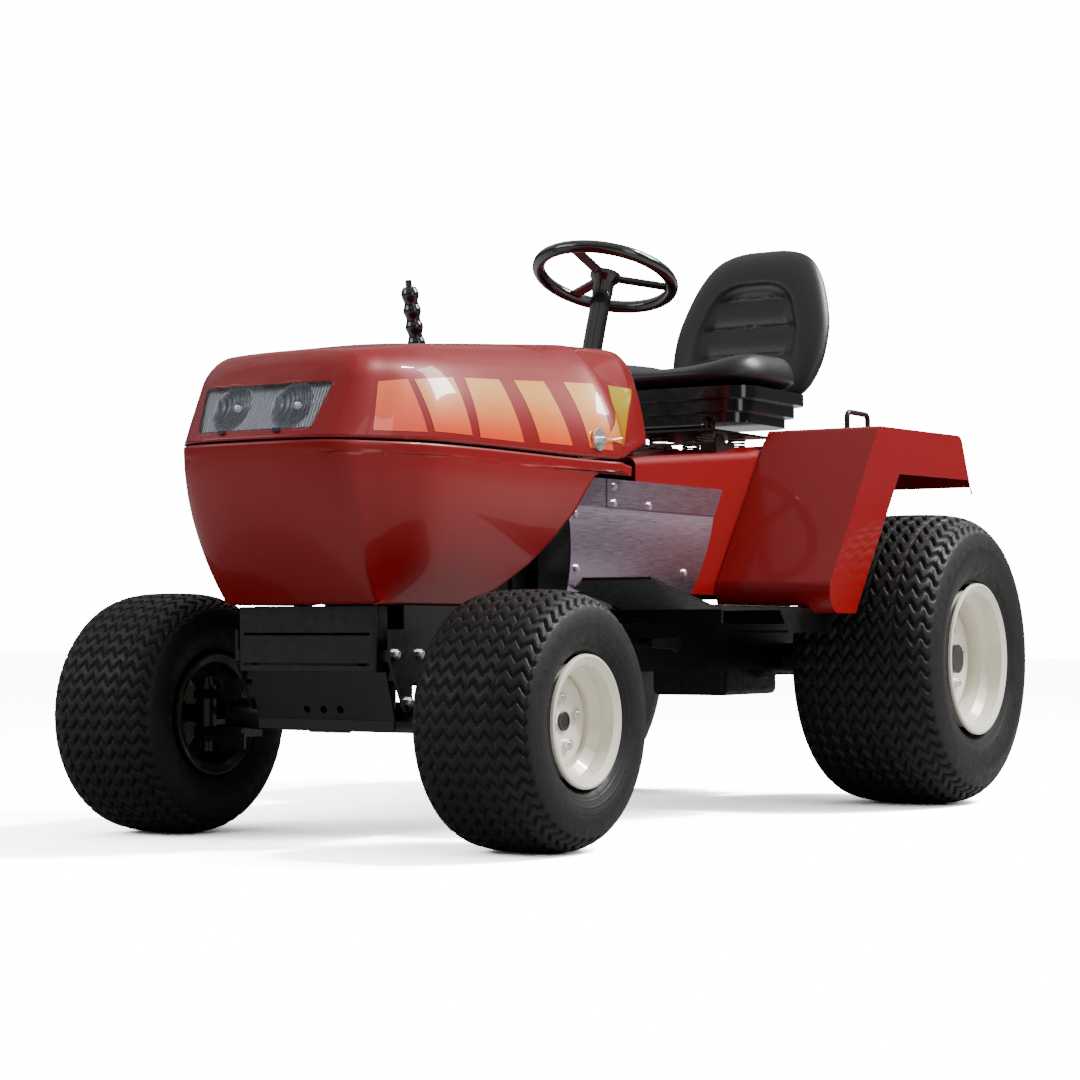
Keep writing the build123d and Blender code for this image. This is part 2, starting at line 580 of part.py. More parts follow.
def make_front_plate():
    """Sloping plate under the grille, with side flanges, a foot and three accessory holes."""
    n = PLATE_NORMAL
    back_top = (PLATE_TOP[0] - n.Y * PLATE_T, PLATE_TOP[1] - n.Z * PLATE_T)
    back_foot = (PLATE_FOOT[0] - n.Y * PLATE_T, PLATE_FOOT[1] - n.Z * PLATE_T)
    piece = side_plate([PLATE_TOP, PLATE_FOOT, back_foot, back_top], -PLATE_HALF, PLATE_HALF)
    wing = side_plate([PLATE_TOP, PLATE_FOOT, (front(-50.5), 232), (front(-50.5), 299.5)],
                      PLATE_HALF - PLATE_T, PLATE_HALF + 1)
    piece += wing + mirrored(wing)
    piece += block(-PLATE_HALF, PLATE_HALF, front(-56.0), front(-50.5), 206, 224)
    for i in (-1, 0, 1):
        centre = hole_place(i)
        piece -= rod(centre - n * 20, centre + n * 20, PLATE_HOLE_R)
    return piece


def hole_place(i):
    """Centre of an accessory hole on the front plate's outer face."""
    along = Vector(0, PLATE_TOP[0], PLATE_TOP[1]) + plate_run * HOLE_ALONG
    return along + Vector(i * PLATE_HOLE_SPACING, 0, 0)


# ---------------------------------------------------------------- hood, cowl and dash
PLAN_HALF = [  # half of the seam's outline, (x, y behind the front axle)
    (72.0, -284.5), (143.0, -269.0), (181.3, -237.6), (206.8, -197.6), (234.9, -148.7),
    (263.0, -76.0), (275.0, 39.0), (281.0, 309.0), (292.0, 428.0), (303.0, 483.0),
]
TAIL_X = 186.0
TAIL_Y = 806.0
HOOD_END = 798.0  # where the hood ends and the fixed dash begins, behind the front axle
DASH_END = 925.0
HOOD_LEAN = 0.50  # the nose leans back this much for each millimetre up
HOOD_TUCK = 1 / 452.0  # sides curve in by the square of the height times this
COWL_TUCK = 1 / 714.0
COWL_TUCK_NOSE = 1 / 500.0
LEAN_FADE = 500.0  # length over which the nose's lean fades along the sides
SEAM_GAP = 5.0
TAIL_SEAM_Z = 770.0  # the seam climbs to this behind the hood's rear corners
HOOD_TOP = [(-330, 858), (-160, 884), (0, 909), (200, 929), (500, 957), (800, 975), (960, 979)]
CROWN = 40.0  # drop of the top across 400 mm


def plan_face(z, tuck, lean, inset, end):
    """Outline of the body at one height: tuck narrows it, lean moves the nose back, inset thins it evenly."""
    narrow = 1 - tuck / PLAN_HALF[7][0]
    half = [(0.0, -NOSE_OVERHANG), *PLAN_HALF]
    moved = []
    for x, y in half:
        fade = max(0.0, 1 - (y + NOSE_OVERHANG) / LEAN_FADE)
        moved.append((x * narrow, y + lean * fade ** 1.5))
    right = []
    for i in range(1, len(moved)):
        before, after = moved[i - 1], moved[min(i + 1, len(moved) - 1)]
        run = math.hypot(after[0] - before[0], after[1] - before[1])
        out_x, out_y = (after[1] - before[1]) / run, (before[0] - after[0]) / run
        right.append((moved[i][0] - inset * out_x, front(moved[i][1] - inset * out_y)))
    left = [(-x, y) for x, y in reversed(right)]
    corner = right[-1]
    tail = (TAIL_X * narrow - inset, front(TAIL_Y))
    slope = (tail[0] - corner[0]) / (tail[1] - corner[1])
    end_x = corner[0] + slope * (front(end) - corner[1])
    curve = Spline(*left, (0, front(moved[0][1] + inset)), *right)
    edges = [curve, Line(corner, (end_x, front(end))), Line((end_x, front(end)), (-end_x, front(end)))]
    edges.append(Line((-end_x, front(end)), left[0]))
    return Pos(0, 0, z) * make_face(Wire(edges))


def crown_solid(drop):
    """Everything under the hood's crowned top."""
    sections = []
    for y, z in HOOD_TOP:
        half = 400.0
        arc = ThreePointArc((-half, z - drop - CROWN), (0, z - drop), (half, z - drop - CROWN))
        sides = Polyline((half, z - drop - CROWN), (half, 500), (-half, 500), (-half, z - drop - CROWN))
        sections.append(Plane.XZ.offset(-front(y)) * make_face(Wire([arc, *sides.edges()])))
    return loft(sections)


def upper_body(inset, bottom, end):
    """The solid that the hood and the dash are cut from."""
    sections = []
    for z in (bottom, 760.0, 810.0, 860.0, 920.0, 1000.0):
        rise = max(0.0, z - SEAM_Z)
        sections.append(plan_face(z, rise ** 2 * HOOD_TUCK * 0.85, rise * HOOD_LEAN, inset, end))
    return loft(sections) & crown_solid(inset)


def make_hood():
    """Hinged hood: a sheet shell open below and behind, with hinge ears at the nose."""
    outer = upper_body(0, SEAM_Z + SEAM_GAP / 2, HOOD_END)
    inner = upper_body(SHEET, SEAM_Z - 40, HOOD_END + 20)
    shell = outer - inner
    pocket = lens_block(GAP)
    shell -= pocket
    rise = [(front(483), SEAM_Z - 10), (front(483), SEAM_Z + SEAM_GAP / 2), (front(770), TAIL_SEAM_Z),
            (front(900), TAIL_SEAM_Z + 8), (front(900), SEAM_Z - 10)]
    shell -= side_plate(rise, -400, 400)
    knuckle = along_hinge(-6, 6, KNUCKLE_R)
    pin = along_hinge(-6, 17, HINGE_PIN_R)
    relief = along_hinge(5.5, 18, KNUCKLE_R + 1)
    shell = shell - relief - mirrored(relief) + knuckle + mirrored(knuckle) + pin + mirrored(pin)
    x, y, z = HOOD_PIN_PLACE
    seat = rod((x, y, z), (x + 30, y, z), DISC_R + 0.3) + rod((x - 40, y, z), (x + 1, y, z), STUD_R + 0.3)
    return shell - seat - mirrored(seat)


HINGE_X = 60.0
HINGE_Y = front(-NOSE_OVERHANG + 3.0)
HINGE_Z = SEAM_Z
HINGE_PIN_R = 2.0
KNUCKLE_R = 5.0
HOOD_PIN_PLACE = (288.6, front(427.6), 752.0)  # base of the scuff disc on the hood's side
DISC_R = 21.5
STUD_R = 5.0


def along_hinge(start, end, radius):
    """A round piece on the hood's hinge line, measured outward from one knuckle."""
    return rod((HINGE_X + start, HINGE_Y, HINGE_Z), (HINGE_X + end, HINGE_Y, HINGE_Z), radius)


LENS_TOP = 816.0
LENS_BOTTOM = 732.0
LENS_HALF_TOP = 141.0
LENS_HALF_BOTTOM = 124.0
LENS_DEPTH = 55.0


def lens_block(grow):
    """A block through the nose with the lens's outline."""
    points = [
        (-LENS_HALF_TOP - grow, LENS_TOP + grow), (LENS_HALF_TOP + grow, LENS_TOP + grow),
        (LENS_HALF_BOTTOM + grow, LENS_BOTTOM - grow), (-LENS_HALF_BOTTOM - grow, LENS_BOTTOM - grow),
    ]
    face = Plane.XZ.offset(-front(-NOSE_OVERHANG - 30)) * make_face(Polyline(*points, close=True))
    block_shape = extrude(face, -(LENS_DEPTH + 75 + grow))
    return fillet(block_shape.edges().filter_by(Axis.Y), 6)


def make_lens():
    """Clear cover that follows the nose."""
    shell = upper_body(0.5, SEAM_Z + SEAM_GAP, HOOD_END) - upper_body(SHEET + 1.5, SEAM_Z - 40, HOOD_END)
    return max((shell & lens_block(0)).solids(), key=lambda s: -s.center().Y)


def make_reflectors():
    """Lamp housing behind the lens with two reflector bowls."""
    body = upper_body(SHEET + 3.5, LENS_BOTTOM + 2, HOOD_END) & lens_block(-2)
    back = front(-NOSE_OVERHANG + 96)
    body &= block(-150, 150, front(-NOSE_OVERHANG), back, 720, 830)
    for x in (-68.0, 68.0):
        y = front(-NOSE_OVERHANG + 52)
        body -= Pos(x, y, 774) * Rot(90, 0, 0) * Cone(20, 40, 78)
    return max(body.solids(), key=lambda s: s.volume)


def make_lower_cowl():
    """Fixed lower cowl: a boat-shaped shell open above, below and behind."""
    outer = cowl_solid(0, COWL_BOTTOM, SEAM_Z - SEAM_GAP / 2)
    inner = cowl_solid(SHEET, COWL_BOTTOM - 1, SEAM_Z + 1)
    shell = outer - inner
    cut = [
        (front(112), 400), (front(112), 431), (front(230), 470), (front(330), 560), (front(395), 655),
        (front(435), 686), (front(610), 690), (front(655), 716), (front(900), 720), (front(900), 400),
    ]
    shell -= side_plate(cut, -400, 400)
    tail = upper_body(0, 692, HOOD_END) - upper_body(SHEET, 660, HOOD_END + 20)
    strip = [(front(470), 692), (front(470), SEAM_Z - SEAM_GAP / 2), (front(483), SEAM_Z - SEAM_GAP / 2),
             (front(652), 743.0), (front(652), 716), (front(610), 692)]
    shell += tail & side_plate(strip, -400, 400)
    relief = along_hinge(-6.5, 6.5, KNUCKLE_R + 1)
    knuckle = along_hinge(6.5, 17, KNUCKLE_R)
    hole = along_hinge(0, 25, HINGE_PIN_R + RUN)
    return shell - relief - mirrored(relief) + knuckle + mirrored(knuckle) - hole - mirrored(hole)


def cowl_solid(inset, low, high):
    sections = []
    for z in (low, 480.0, 550.0, 620.0, 680.0, high):
        drop = max(0.0, SEAM_Z - z)
        sections.append(plan_face(z, drop ** 2 * COWL_TUCK, drop ** 2 * COWL_TUCK_NOSE, inset, 640))
    return loft(sections)


def make_dash():
    """Fixed dash behind the hood: it carries the column and the key."""
    outer = upper_body(0, DASH_LOW, DASH_END)
    rest = block(-400, 400, front(HOOD_END + 4), front(DASH_END + 10), DASH_LOW, 1100)
    outer &= rest
    edges = outer.faces().sort_by(Axis.Z)[-1].edges().sort_by(Axis.Y)[1:]
    outer = fillet(edges, 20)
    inner = upper_body(SHEET, DASH_LOW - 40, DASH_END - SHEET)
    shell = outer - inner
    shell += block(-70, 70, front(HOOD_END + 30), front(DASH_END - 1), 860, 866)
    shell -= rod(on_column(0), on_column(420), COLUMN_TUBE_R + 7)
    ahead, behind = front(HOOD_END - 20), front(DASH_END + 20)
    under = [(ahead, 600), (behind, 600), (behind, deck_line(behind) + GAP), (ahead, deck_line(ahead) + GAP)]
    shell -= side_plate(under, -400, 400)
    key_y = front(DASH_END)
    shell -= rod((KEY_X, key_y - 10, KEY_Z), (KEY_X, key_y + 10, KEY_Z), KEY_R + RUN)
    return shell


DASH_LOW = 741.0


def deck_line(y):
    """Height of the tunnel's sloping top at a place along it."""
    start, end = (front(665.0), TUNNEL_FRONT_Z), (rear(-320), 779.0)
    return start[1] + (end[1] - start[1]) * (y - start[0]) / (end[0] - start[0])


TUNNEL_FRONT_Z = 735.0
KEY_X = -55.0
KEY_Z = 850.0
KEY_R = 8.0


def make_key():
    """Ignition key in its lock barrel."""
    y = front(DASH_END)
    piece = rod((KEY_X, y - 14, KEY_Z), (KEY_X, y + 6, KEY_Z), KEY_R)
    return piece + block(KEY_X - 1.5, KEY_X + 1.5, y + 5, y + 30, KEY_Z - 10, KEY_Z + 10)


def make_hood_pins():
    """Hood pins: a scuff disc, a stud and its hairpin on each side."""
    x, y, z = HOOD_PIN_PLACE
    disc = rod((x, y, z), (x + 5, y, z), DISC_R)
    stud = rod((x - 26, y, z), (x + 18, y, z), STUD_R)
    wire = bent_rod([(x + 12, y - 9, z), (x + 12, y + 34, z + 2), (x + 18, y + 62, z + 6)], [20], 1.3)
    return both_sides(disc + stud + wire)


# ---------------------------------------------------------------- pedestal, side panels, fenders, foot rests
BODY_X = 236.0  # outer face of the pedestal
PEDESTAL_FRONT = front(665.0)
PEDESTAL_REAR = rear(245.0)
PEDESTAL_LOW = 462.0
DECK_Z = 800.0


def make_pedestal():
    """Centre tunnel and seat deck: a cover open below and at the front."""
    top = [(PEDESTAL_FRONT, TUNNEL_FRONT_Z), (rear(-320), 779.0), (rear(-190), DECK_Z), (PEDESTAL_REAR, DECK_Z)]
    outline = [*top, (PEDESTAL_REAR, PEDESTAL_LOW), (PEDESTAL_FRONT, PEDESTAL_LOW)]
    outer = side_plate(outline, -BODY_X, BODY_X)
    outer = fillet(outer.edges().filter_by(lambda e: e.center().Z > 730 and abs(abs(e.center().X) - BODY_X) < 1), 18)
    t = SHEET
    inside = [(y, z - t) for y, z in top]
    inside[0] = (PEDESTAL_FRONT - 5, TUNNEL_FRONT_Z - t)
    inside[-1] = (PEDESTAL_REAR - t, DECK_Z - t)
    hollow = side_plate([*inside, (PEDESTAL_REAR - t, PEDESTAL_LOW - 5), (PEDESTAL_FRONT - 5, PEDESTAL_LOW - 5)],
                        -BODY_X + t, BODY_X - t)
    hollow = fillet(hollow.edges().filter_by(lambda e: e.center().Z > 725 and abs(abs(e.center().X) - BODY_X + t) < 1), 16)
    shell = outer - hollow
    arch = rod((-400, REAR_AXLE_Y, REAR_AXLE_Z), (400, REAR_AXLE_Y, REAR_AXLE_Z), AXLE_TUBE_R + 130)
    return shell - arch - rod(on_column(300), on_column(600), COLUMN_TUBE_R + 2)


PANEL_BULGE = 9.0
PANEL_T = 2.5
PANEL_FRONT = front(392.6)
PANEL_X = BODY_X + 1.0  # inner face at the panel's edges
PANEL_LOW = PEDESTAL_LOW - 2
PANEL_BEND = 627.0  # bowed below this height, flat above
PANEL_HIGH = 687.0
PANEL_MIDDLE = (PANEL_LOW + PANEL_BEND) / 2
STRIP_X = PANEL_X + PANEL_T + 0.2
STRIP_T = 2.5
SCREW_SIZE = 12.5


def panel_face_x(z):
    """X of the bowed panel's outer face at a height."""
    half = (PANEL_BEND - PANEL_LOW) / 2
    radius = (half ** 2 + PANEL_BULGE ** 2) / (2 * PANEL_BULGE)
    reach = abs(z - PANEL_MIDDLE) - SCREW_SIZE / 2
    return PANEL_X + PANEL_T + PANEL_BULGE - radius + math.sqrt(radius ** 2 - reach ** 2)


def make_side_panels():
    """Steel side panels, slightly bowed, each with a strip lapped on its upper edge."""
    x0, x1 = PANEL_X, PANEL_X + PANEL_T
    inner = ThreePointArc((x0, PANEL_LOW), (x0 + PANEL_BULGE, PANEL_MIDDLE), (x0, PANEL_BEND))
    outer = ThreePointArc((x1, PANEL_LOW), (x1 + PANEL_BULGE, PANEL_MIDDLE), (x1, PANEL_BEND))
    above = Polyline((x0, PANEL_BEND), (x0, PANEL_HIGH), (x1, PANEL_HIGH), (x1, PANEL_BEND))
    edges = [inner, *above.edges(), outer, Line((x1, PANEL_LOW), (x0, PANEL_LOW))]
    band = extrude(Plane.XZ.offset(-PANEL_FRONT) * make_face(Wire(edges)), -(rear(-463) - PANEL_FRONT))
    slant = side_plate([(PANEL_FRONT, PANEL_LOW), (PANEL_FRONT, PANEL_HIGH - 3), (rear(-463), PANEL_HIGH),
                        (rear(-607), PANEL_LOW)], PANEL_X - 10, PANEL_X + 40)
    strip = block(STRIP_X, STRIP_X + STRIP_T, PANEL_FRONT + 150, rear(-463), PANEL_BEND + 2, PANEL_HIGH - 1)
    return both_sides(group(band & slant, strip & slant))


def make_fasteners():
    """Bolts and screws of the chassis and its panels, as separate heads."""
    pieces = []
    for y, z in ((PANEL_FRONT + 22, 611), (PANEL_FRONT + 22, 505), (PANEL_FRONT + 455, 505)):
        pieces.append(hex_bolt((panel_face_x(z) + 0.1, y, z), (1, 0, 0), SCREW_SIZE, 4))
    for y, z in ((PANEL_FRONT + 175, 670), (PANEL_FRONT + 175, 637), (PANEL_FRONT + 316, 638)):
        pieces.append(hex_bolt((STRIP_X + STRIP_T, y, z), (1, 0, 0), SCREW_SIZE, 4))
    for y, z in ((front(-82), 343), (front(-8), 343), (front(-42), 258)):
        pieces.append(hex_bolt((RAIL_X + HANGER_T, y, z), (1, 0, 0), 15, 6))
    for y in (front(703), front(780), rear(-524), rear(-445), rear(-360)):
        pieces.append(hex_bolt((OUTRIGGER_X + 6, y, 411), (1, 0, 0), 15, 6))
    return both_sides(group(*pieces))


OUTRIGGER_X = 184.0
FENDER_IN = 239.0
FENDER_OUT = 505.0
FENDER_T = 2.5
FENDER_PATH = [
    (rear(-362), 422.0), (rear(-532.6), 422.0), (rear(-236.6), 829.0), (rear(230.4), 839.0), (rear(286), 722.0),
]
FENDER_BENDS = [44.0, 14.0, 26.0]


def make_fender():
    """Left fender: a bent skin with an outer valance round the wheel arch."""
    skin = bent_sheet(FENDER_PATH, FENDER_BENDS, FENDER_T, FENDER_IN, FENDER_OUT)
    path = FilletPolyline(*FENDER_PATH, radius=FENDER_BENDS)
    arch = Polyline(path @ 1, (rear(302), 708), (rear(296), 706), (rear(272), 738), (rear(-126.6), 731), (rear(-362), 422.0))
    valance = extrude(Plane.YZ.offset(FENDER_OUT - FENDER_T) * make_face(Wire([*path.edges(), *arch.edges()])), FENDER_T)
    notch = block(FENDER_IN - 5, REST_OUT + 1, rear(-640), rear(-340), 400, REST_Z + 4)
    return skin + valance - notch


def make_grab_handles():
    """Small grab loops on the fenders."""
    x, z = 400.0, 836.0
    loop = bent_rod([(x, rear(-172), z - 2), (x, rear(-172), z + 34), (x, rear(-62), z + 34), (x, rear(-62), z)], [14, 14], 6.0)
    return both_sides(loop)


REST_IN = 242.0
REST_OUT = 450.0
REST_T = 6.0
REST_FRONT = front(347.0)
REST_BEND = front(602.0)
REST_REAR = rear(-350.0)
REST_Z = 433.0
RIDGES = 8


def make_foot_rests():
    """Foot rests: a ramp and a ribbed flat, with a skirt and outriggers to the rails."""
    profile = [(REST_FRONT, 485), (REST_BEND, REST_Z), (REST_REAR, REST_Z), (REST_REAR, REST_Z - REST_T),
               (REST_BEND - 2, REST_Z - REST_T), (REST_FRONT, 485 - REST_T)]
    plate = side_plate(profile, REST_IN, REST_OUT)
    chamfer_corner = extrude(make_face(Polyline((REST_IN - 1, REST_FRONT - 1), (REST_IN + 60, REST_FRONT - 1),
                                                (REST_IN - 1, REST_FRONT + 75), close=True)), 600)
    plate -= chamfer_corner
    for i in range(RIDGES):
        y = REST_BEND + 40 + i * (REST_REAR - REST_BEND - 60) / RIDGES
        plate += rod((REST_IN + 8, y, REST_Z - 1), (REST_OUT - 8, y, REST_Z - 1), 4.5)
    skirt_front = rear(-560)
    skirt = side_plate([(skirt_front - 40, REST_Z - REST_T), (skirt_front, 381), (REST_REAR - 20, 381),
                        (REST_REAR, REST_Z - REST_T)], REST_OUT - 6, REST_OUT)
    lip = block(REST_IN + 60, REST_OUT, skirt_front, REST_REAR - 20, 381, 386)
    plate += skirt + lip
    rail = block(OUTRIGGER_X, OUTRIGGER_X + 6, front(680), rear(-340), 398, 425)
    for y in (front(684), rear(-488), rear(-348)):
        arm = side_plate([(y, 400), (y + 8, 400), (y + 8, REST_Z - REST_T), (y, REST_Z - REST_T)], RAIL_X, REST_OUT - 30)
        rail += arm
    rail += block(OUTRIGGER_X + 5, REST_IN + 20, front(680), rear(-340), REST_Z - REST_T - 6, REST_Z - REST_T)
    left = plate + rail
    right = mirrored(left)
    right -= block(LEVER_X - 14, LEVER_X + 14, LEVER_Y - 75, LEVER_Y + 75, 370, 470)
    right += treadle_stand() + pedal_bracket()
    return group(left, right)


# ---------------------------------------------------------------- engine bay
ENGINE_Y = front(235.0)
ENGINE_HALF_X = 130.0
ENGINE_HALF_Y = 140.0
CASE_TOP = 590.0
CRANK_R = 12.5
PULLEY_T = 18.0
ENGINE_PULLEY_R = 62.0
DRIVE_PULLEY_R = 80.0
BELT_Z = 395.0
BELT_T = 9.0
BELT_W = 12.0
BELT_GAP = 0.4
DRIVE_Y = rear(-110.0)


def make_engine():
    """Twin-cylinder engine: crankcase, finned cylinders, blower housing and air cleaner."""
    case = block(-ENGINE_HALF_X, ENGINE_HALF_X, ENGINE_Y - ENGINE_HALF_Y, ENGINE_Y + ENGINE_HALF_Y, RAIL_TOP, CASE_TOP)
    case = fillet(case.edges().filter_by(Axis.Z), 30)
    for side in (-1, 1):
        for i in range(6):
            y = ENGINE_Y - 185 + i * 8.0
            fin = block(side * 62 - 48, side * 62 + 48, y, y + 3, 470, 575)
            case += fin
        case += block(side * 62 - 36, side * 62 + 36, ENGINE_Y - 186, ENGINE_Y - ENGINE_HALF_Y + 5, 482, 562)
        case += block(side * 62 - 42, side * 62 + 42, ENGINE_Y - 200, ENGINE_Y - 184, 476, 568)
    case += Pos(0, ENGINE_Y, CASE_TOP + 45) * Cylinder(135, 90)
    case += Pos(0, ENGINE_Y, CASE_TOP + 97) * Cylinder(95, 14)
    case += block(-70, 70, ENGINE_Y - 190, ENGINE_Y - 100, CASE_TOP + 20, CASE_TOP + 105)
    return case - rod((0, ENGINE_Y, RAIL_TOP - 1), (0, ENGINE_Y, RAIL_TOP + 70), CRANK_R + RUN)


def pulley(y, radius):
    """A grooved pulley with its web and hub."""
    half = PULLEY_T / 2
    groove = radius - BELT_T - BELT_GAP
    outline = Polyline((CRANK_R - 2, -half), (radius, -half), (radius, -half + 2), (groove, -BELT_W / 2 + 1),
                       (groove, BELT_W / 2 - 1), (radius, half - 2), (radius, half), (CRANK_R - 2, half), close=True)
    ring = revolve(Plane.XZ * make_face(outline), Axis.Z)
    return Pos(0, y, BELT_Z) * ring


def make_engine_pulley():
    return pulley(ENGINE_Y, ENGINE_PULLEY_R) + rod((0, ENGINE_Y, BELT_Z - 14), (0, ENGINE_Y, RAIL_TOP + 68), CRANK_R)


def make_drive_pulley():
    top = rod((0, DRIVE_Y, BELT_Z + PULLEY_T / 2 - 1), (0, DRIVE_Y, BELT_Z + 16), 55)
    return pulley(DRIVE_Y, DRIVE_PULLEY_R) + rod((0, DRIVE_Y, CASE_Z1 - 40), (0, DRIVE_Y, BELT_Z + 16), CRANK_R) + top


def make_belt():
    """Drive belt: a closed loop that rides in both pulleys' grooves."""
    engine_r = ENGINE_PULLEY_R - BELT_T
    drive_r = DRIVE_PULLEY_R - BELT_T

    def loop(grow):
        r0, r1 = engine_r + grow, drive_r + grow
        span = DRIVE_Y - ENGINE_Y
        lean = math.asin((r1 - r0) / span)
        c, s = math.cos(lean), math.sin(lean)
        a, b = (r0 * c, ENGINE_Y - r0 * s), (r1 * c, DRIVE_Y - r1 * s)
        far = ThreePointArc(b, (0, DRIVE_Y + r1), (-b[0], b[1]))
        near = ThreePointArc((-a[0], a[1]), (0, ENGINE_Y - r0), a)
        return make_face(Wire([Line(a, b), far, Line((-b[0], b[1]), (-a[0], a[1])), near]))

    band = loop(BELT_T) - loop(0)
    return Pos(0, 0, BELT_Z - BELT_W / 2 + 1.2) * extrude(band, BELT_W - 2.4)


def make_muffler():
    """Muffler across the nose with its two pipes from the cylinders."""
    y, z = front(-62.0), 500.0
    body = rod((-120, y, z), (120, y, z), 40)
    body = fillet(body.edges(), 10)
    for x in (-62, 62):
        body += rod((x, y + 20, z), (x, ENGINE_Y - 202.5, z + 10), 12)
    return body


TANK_CAP_R = 28.0
TANK_TOP = 880.0
TANK_Y = front(530.0)


def make_tank():
    """Fuel tank under the rear of the hood, with a filler neck."""
    tank = block(-150, 150, front(455), front(605), 735, TANK_TOP)
    tank = fillet(tank.edges(), 18)
    tank += rod((0, TANK_Y, TANK_TOP - 5), (0, TANK_Y, TANK_TOP + 14), 22)
    tank -= rod((0, TANK_Y, TANK_TOP - 20), (0, TANK_Y, TANK_TOP + 20), 18)
    for side in (-1, 1):
        tank += block(min(side * 120, side * 126), max(side * 120, side * 126), front(470), front(590), RAIL_TOP, 745)
    return tank


def make_tank_cap():
    cap = rod((0, TANK_Y, TANK_TOP + 1), (0, TANK_Y, TANK_TOP + 20), TANK_CAP_R)
    return cap - rod((0, TANK_Y, TANK_TOP), (0, TANK_Y, TANK_TOP + 14.5), 22 + RUN)


def make_battery():
    y0, y1 = front(430), front(550)
    battery = block(-92, 92, y0, y1, RAIL_TOP, 590)
    for x in (-70, 70):
        battery += rod((x, y0 + 25, 590), (x, y0 + 25, 606), 8)
    return battery


# ---------------------------------------------------------------- transaxle
AXLE_TUBE_R = 34.0
AXLE_SHAFT_R = 17.0
CASE_Z1 = 392.0
AXLE_TUBE_END = REAR_WHEEL_X - 20.0
AXLE_FLANGE_R = 78.0
AXLE_FLANGE_T = 9.0


def make_transaxle():
    """Transaxle case with its axle tubes."""
    case = block(-95, 95, rear(-175), rear(95), 238, CASE_Z1 - 12)
    case = fillet(case.edges(), 14)
    case += rod((-AXLE_TUBE_END, REAR_AXLE_Y, REAR_AXLE_Z), (AXLE_TUBE_END, REAR_AXLE_Y, REAR_AXLE_Z), AXLE_TUBE_R)
    for x in (-108, 108):
        case += rod((x - 18, REAR_AXLE_Y, REAR_AXLE_Z), (x + 18, REAR_AXLE_Y, REAR_AXLE_Z), AXLE_TUBE_R + 14)
    case -= rod((20, REAR_AXLE_Y, REAR_AXLE_Z), (AXLE_TUBE_END + 5, REAR_AXLE_Y, REAR_AXLE_Z), AXLE_SHAFT_R + RUN)
    case -= rod((-20, REAR_AXLE_Y, REAR_AXLE_Z), (-AXLE_TUBE_END - 5, REAR_AXLE_Y, REAR_AXLE_Z), AXLE_SHAFT_R + RUN)
    return case - rod((0, DRIVE_Y, CASE_Z1 - 42), (0, DRIVE_Y, CASE_Z1), CRANK_R + RUN)


def make_rear_axle():
    """Left half shaft with its wheel flange, studs and nuts."""
    disc_back = REAR_WHEEL_X + REAR_DISC_X - RIM_WALL
    flange_x = disc_back - AXLE_FLANGE_T
    centre = (REAR_AXLE_Y, REAR_AXLE_Z)
    piece = rod((24, *centre), (flange_x, *centre), AXLE_SHAFT_R)
    piece += rod((AXLE_TUBE_END + 3, *centre), (flange_x, *centre), AXLE_SHAFT_R + 12)
    piece += rod((flange_x, *centre), (disc_back, *centre), AXLE_FLANGE_R)
    piece += rod((disc_back, *centre), (disc_back + 24, *centre), REAR_DISC_BORE - 1)
    return group(piece, *wheel_studs(REAR_STUD_PLACES, RIM_WALL))


def make_front_hub():
    """Left front hub: a barrel on the stub axle with a flange, studs and nuts."""
    disc_back = FRONT_WHEEL_X + FRONT_DISC_X - RIM_WALL
    centre = (FRONT_AXLE_Y, FRONT_AXLE_Z)
    barrel = rod((FRONT_WHEEL_X - 20, *centre), (disc_back, *centre), HUB_BARREL_R)
    barrel += rod((disc_back - HUB_FLANGE_T, *centre), (disc_back, *centre), HUB_FLANGE_R)
    barrel += rod((disc_back, *centre), (disc_back + 9, *centre), FRONT_DISC_BORE - 0.5)
    barrel -= rod((FRONT_WHEEL_X - 30, *centre), (disc_back + 20, *centre), STUB_R + RUN)
    return group(barrel, *wheel_studs(FRONT_STUD_PLACES, RIM_WALL))


# ---------------------------------------------------------------- seat
SEAT_HINGE_Y = rear(-275.0)
SEAT_HINGE_Z = 845.0
SEAT_HINGE_R = 6.0
SEAT_EAR_R = 9.0  # round nose of each ear, which turns in a slot of the sprung frame
EAR_X = 98.0
CARRIER_T = 5.0
CARRIER_Z = 832.0
PAN_LOW = 852.0
PAN_HIGH = 931.0
CUSHION_HALF = 222.0
CUSHION_FRONT = rear(-312.0)
CUSHION_REAR = rear(15.0)
BACK_FOOT = (rear(58.0), 938.0)
BACK_TOP = (rear(202.0), 1310.0)
BACK_THICK = 80.0
SPRING_R = 24.0
FOOT_X = 131.0


def make_seat_base():
    """Fixed feet on the deck that carry the sprung seat frame."""
    pieces = []
    for x in (-FOOT_X, FOOT_X):
        for y in (SEAT_HINGE_Y + 10, SEAT_HINGE_Y + 250):
            foot = side_plate([(y - 34, DECK_Z), (y + 34, DECK_Z), (y + 10, CARRIER_Z - 6), (y - 10, CARRIER_Z - 6)],
                              x - 3, x + 3)
            pieces.append(foot)
    front_foot = SEAT_HINGE_Y + 10
    ramp = [(rear(-318), 780.2), (rear(-230), 794.8), (rear(-230), DECK_Z + 4), (rear(-318), DECK_Z + 4)]
    for x in (-FOOT_X, FOOT_X):
        pieces.append(side_plate(ramp, x - 20, x + 20))
    pieces.append(block(-FOOT_X, FOOT_X, front_foot - 4, front_foot + 4, DECK_Z + 4, DECK_Z + 9))
    return group(*pieces)


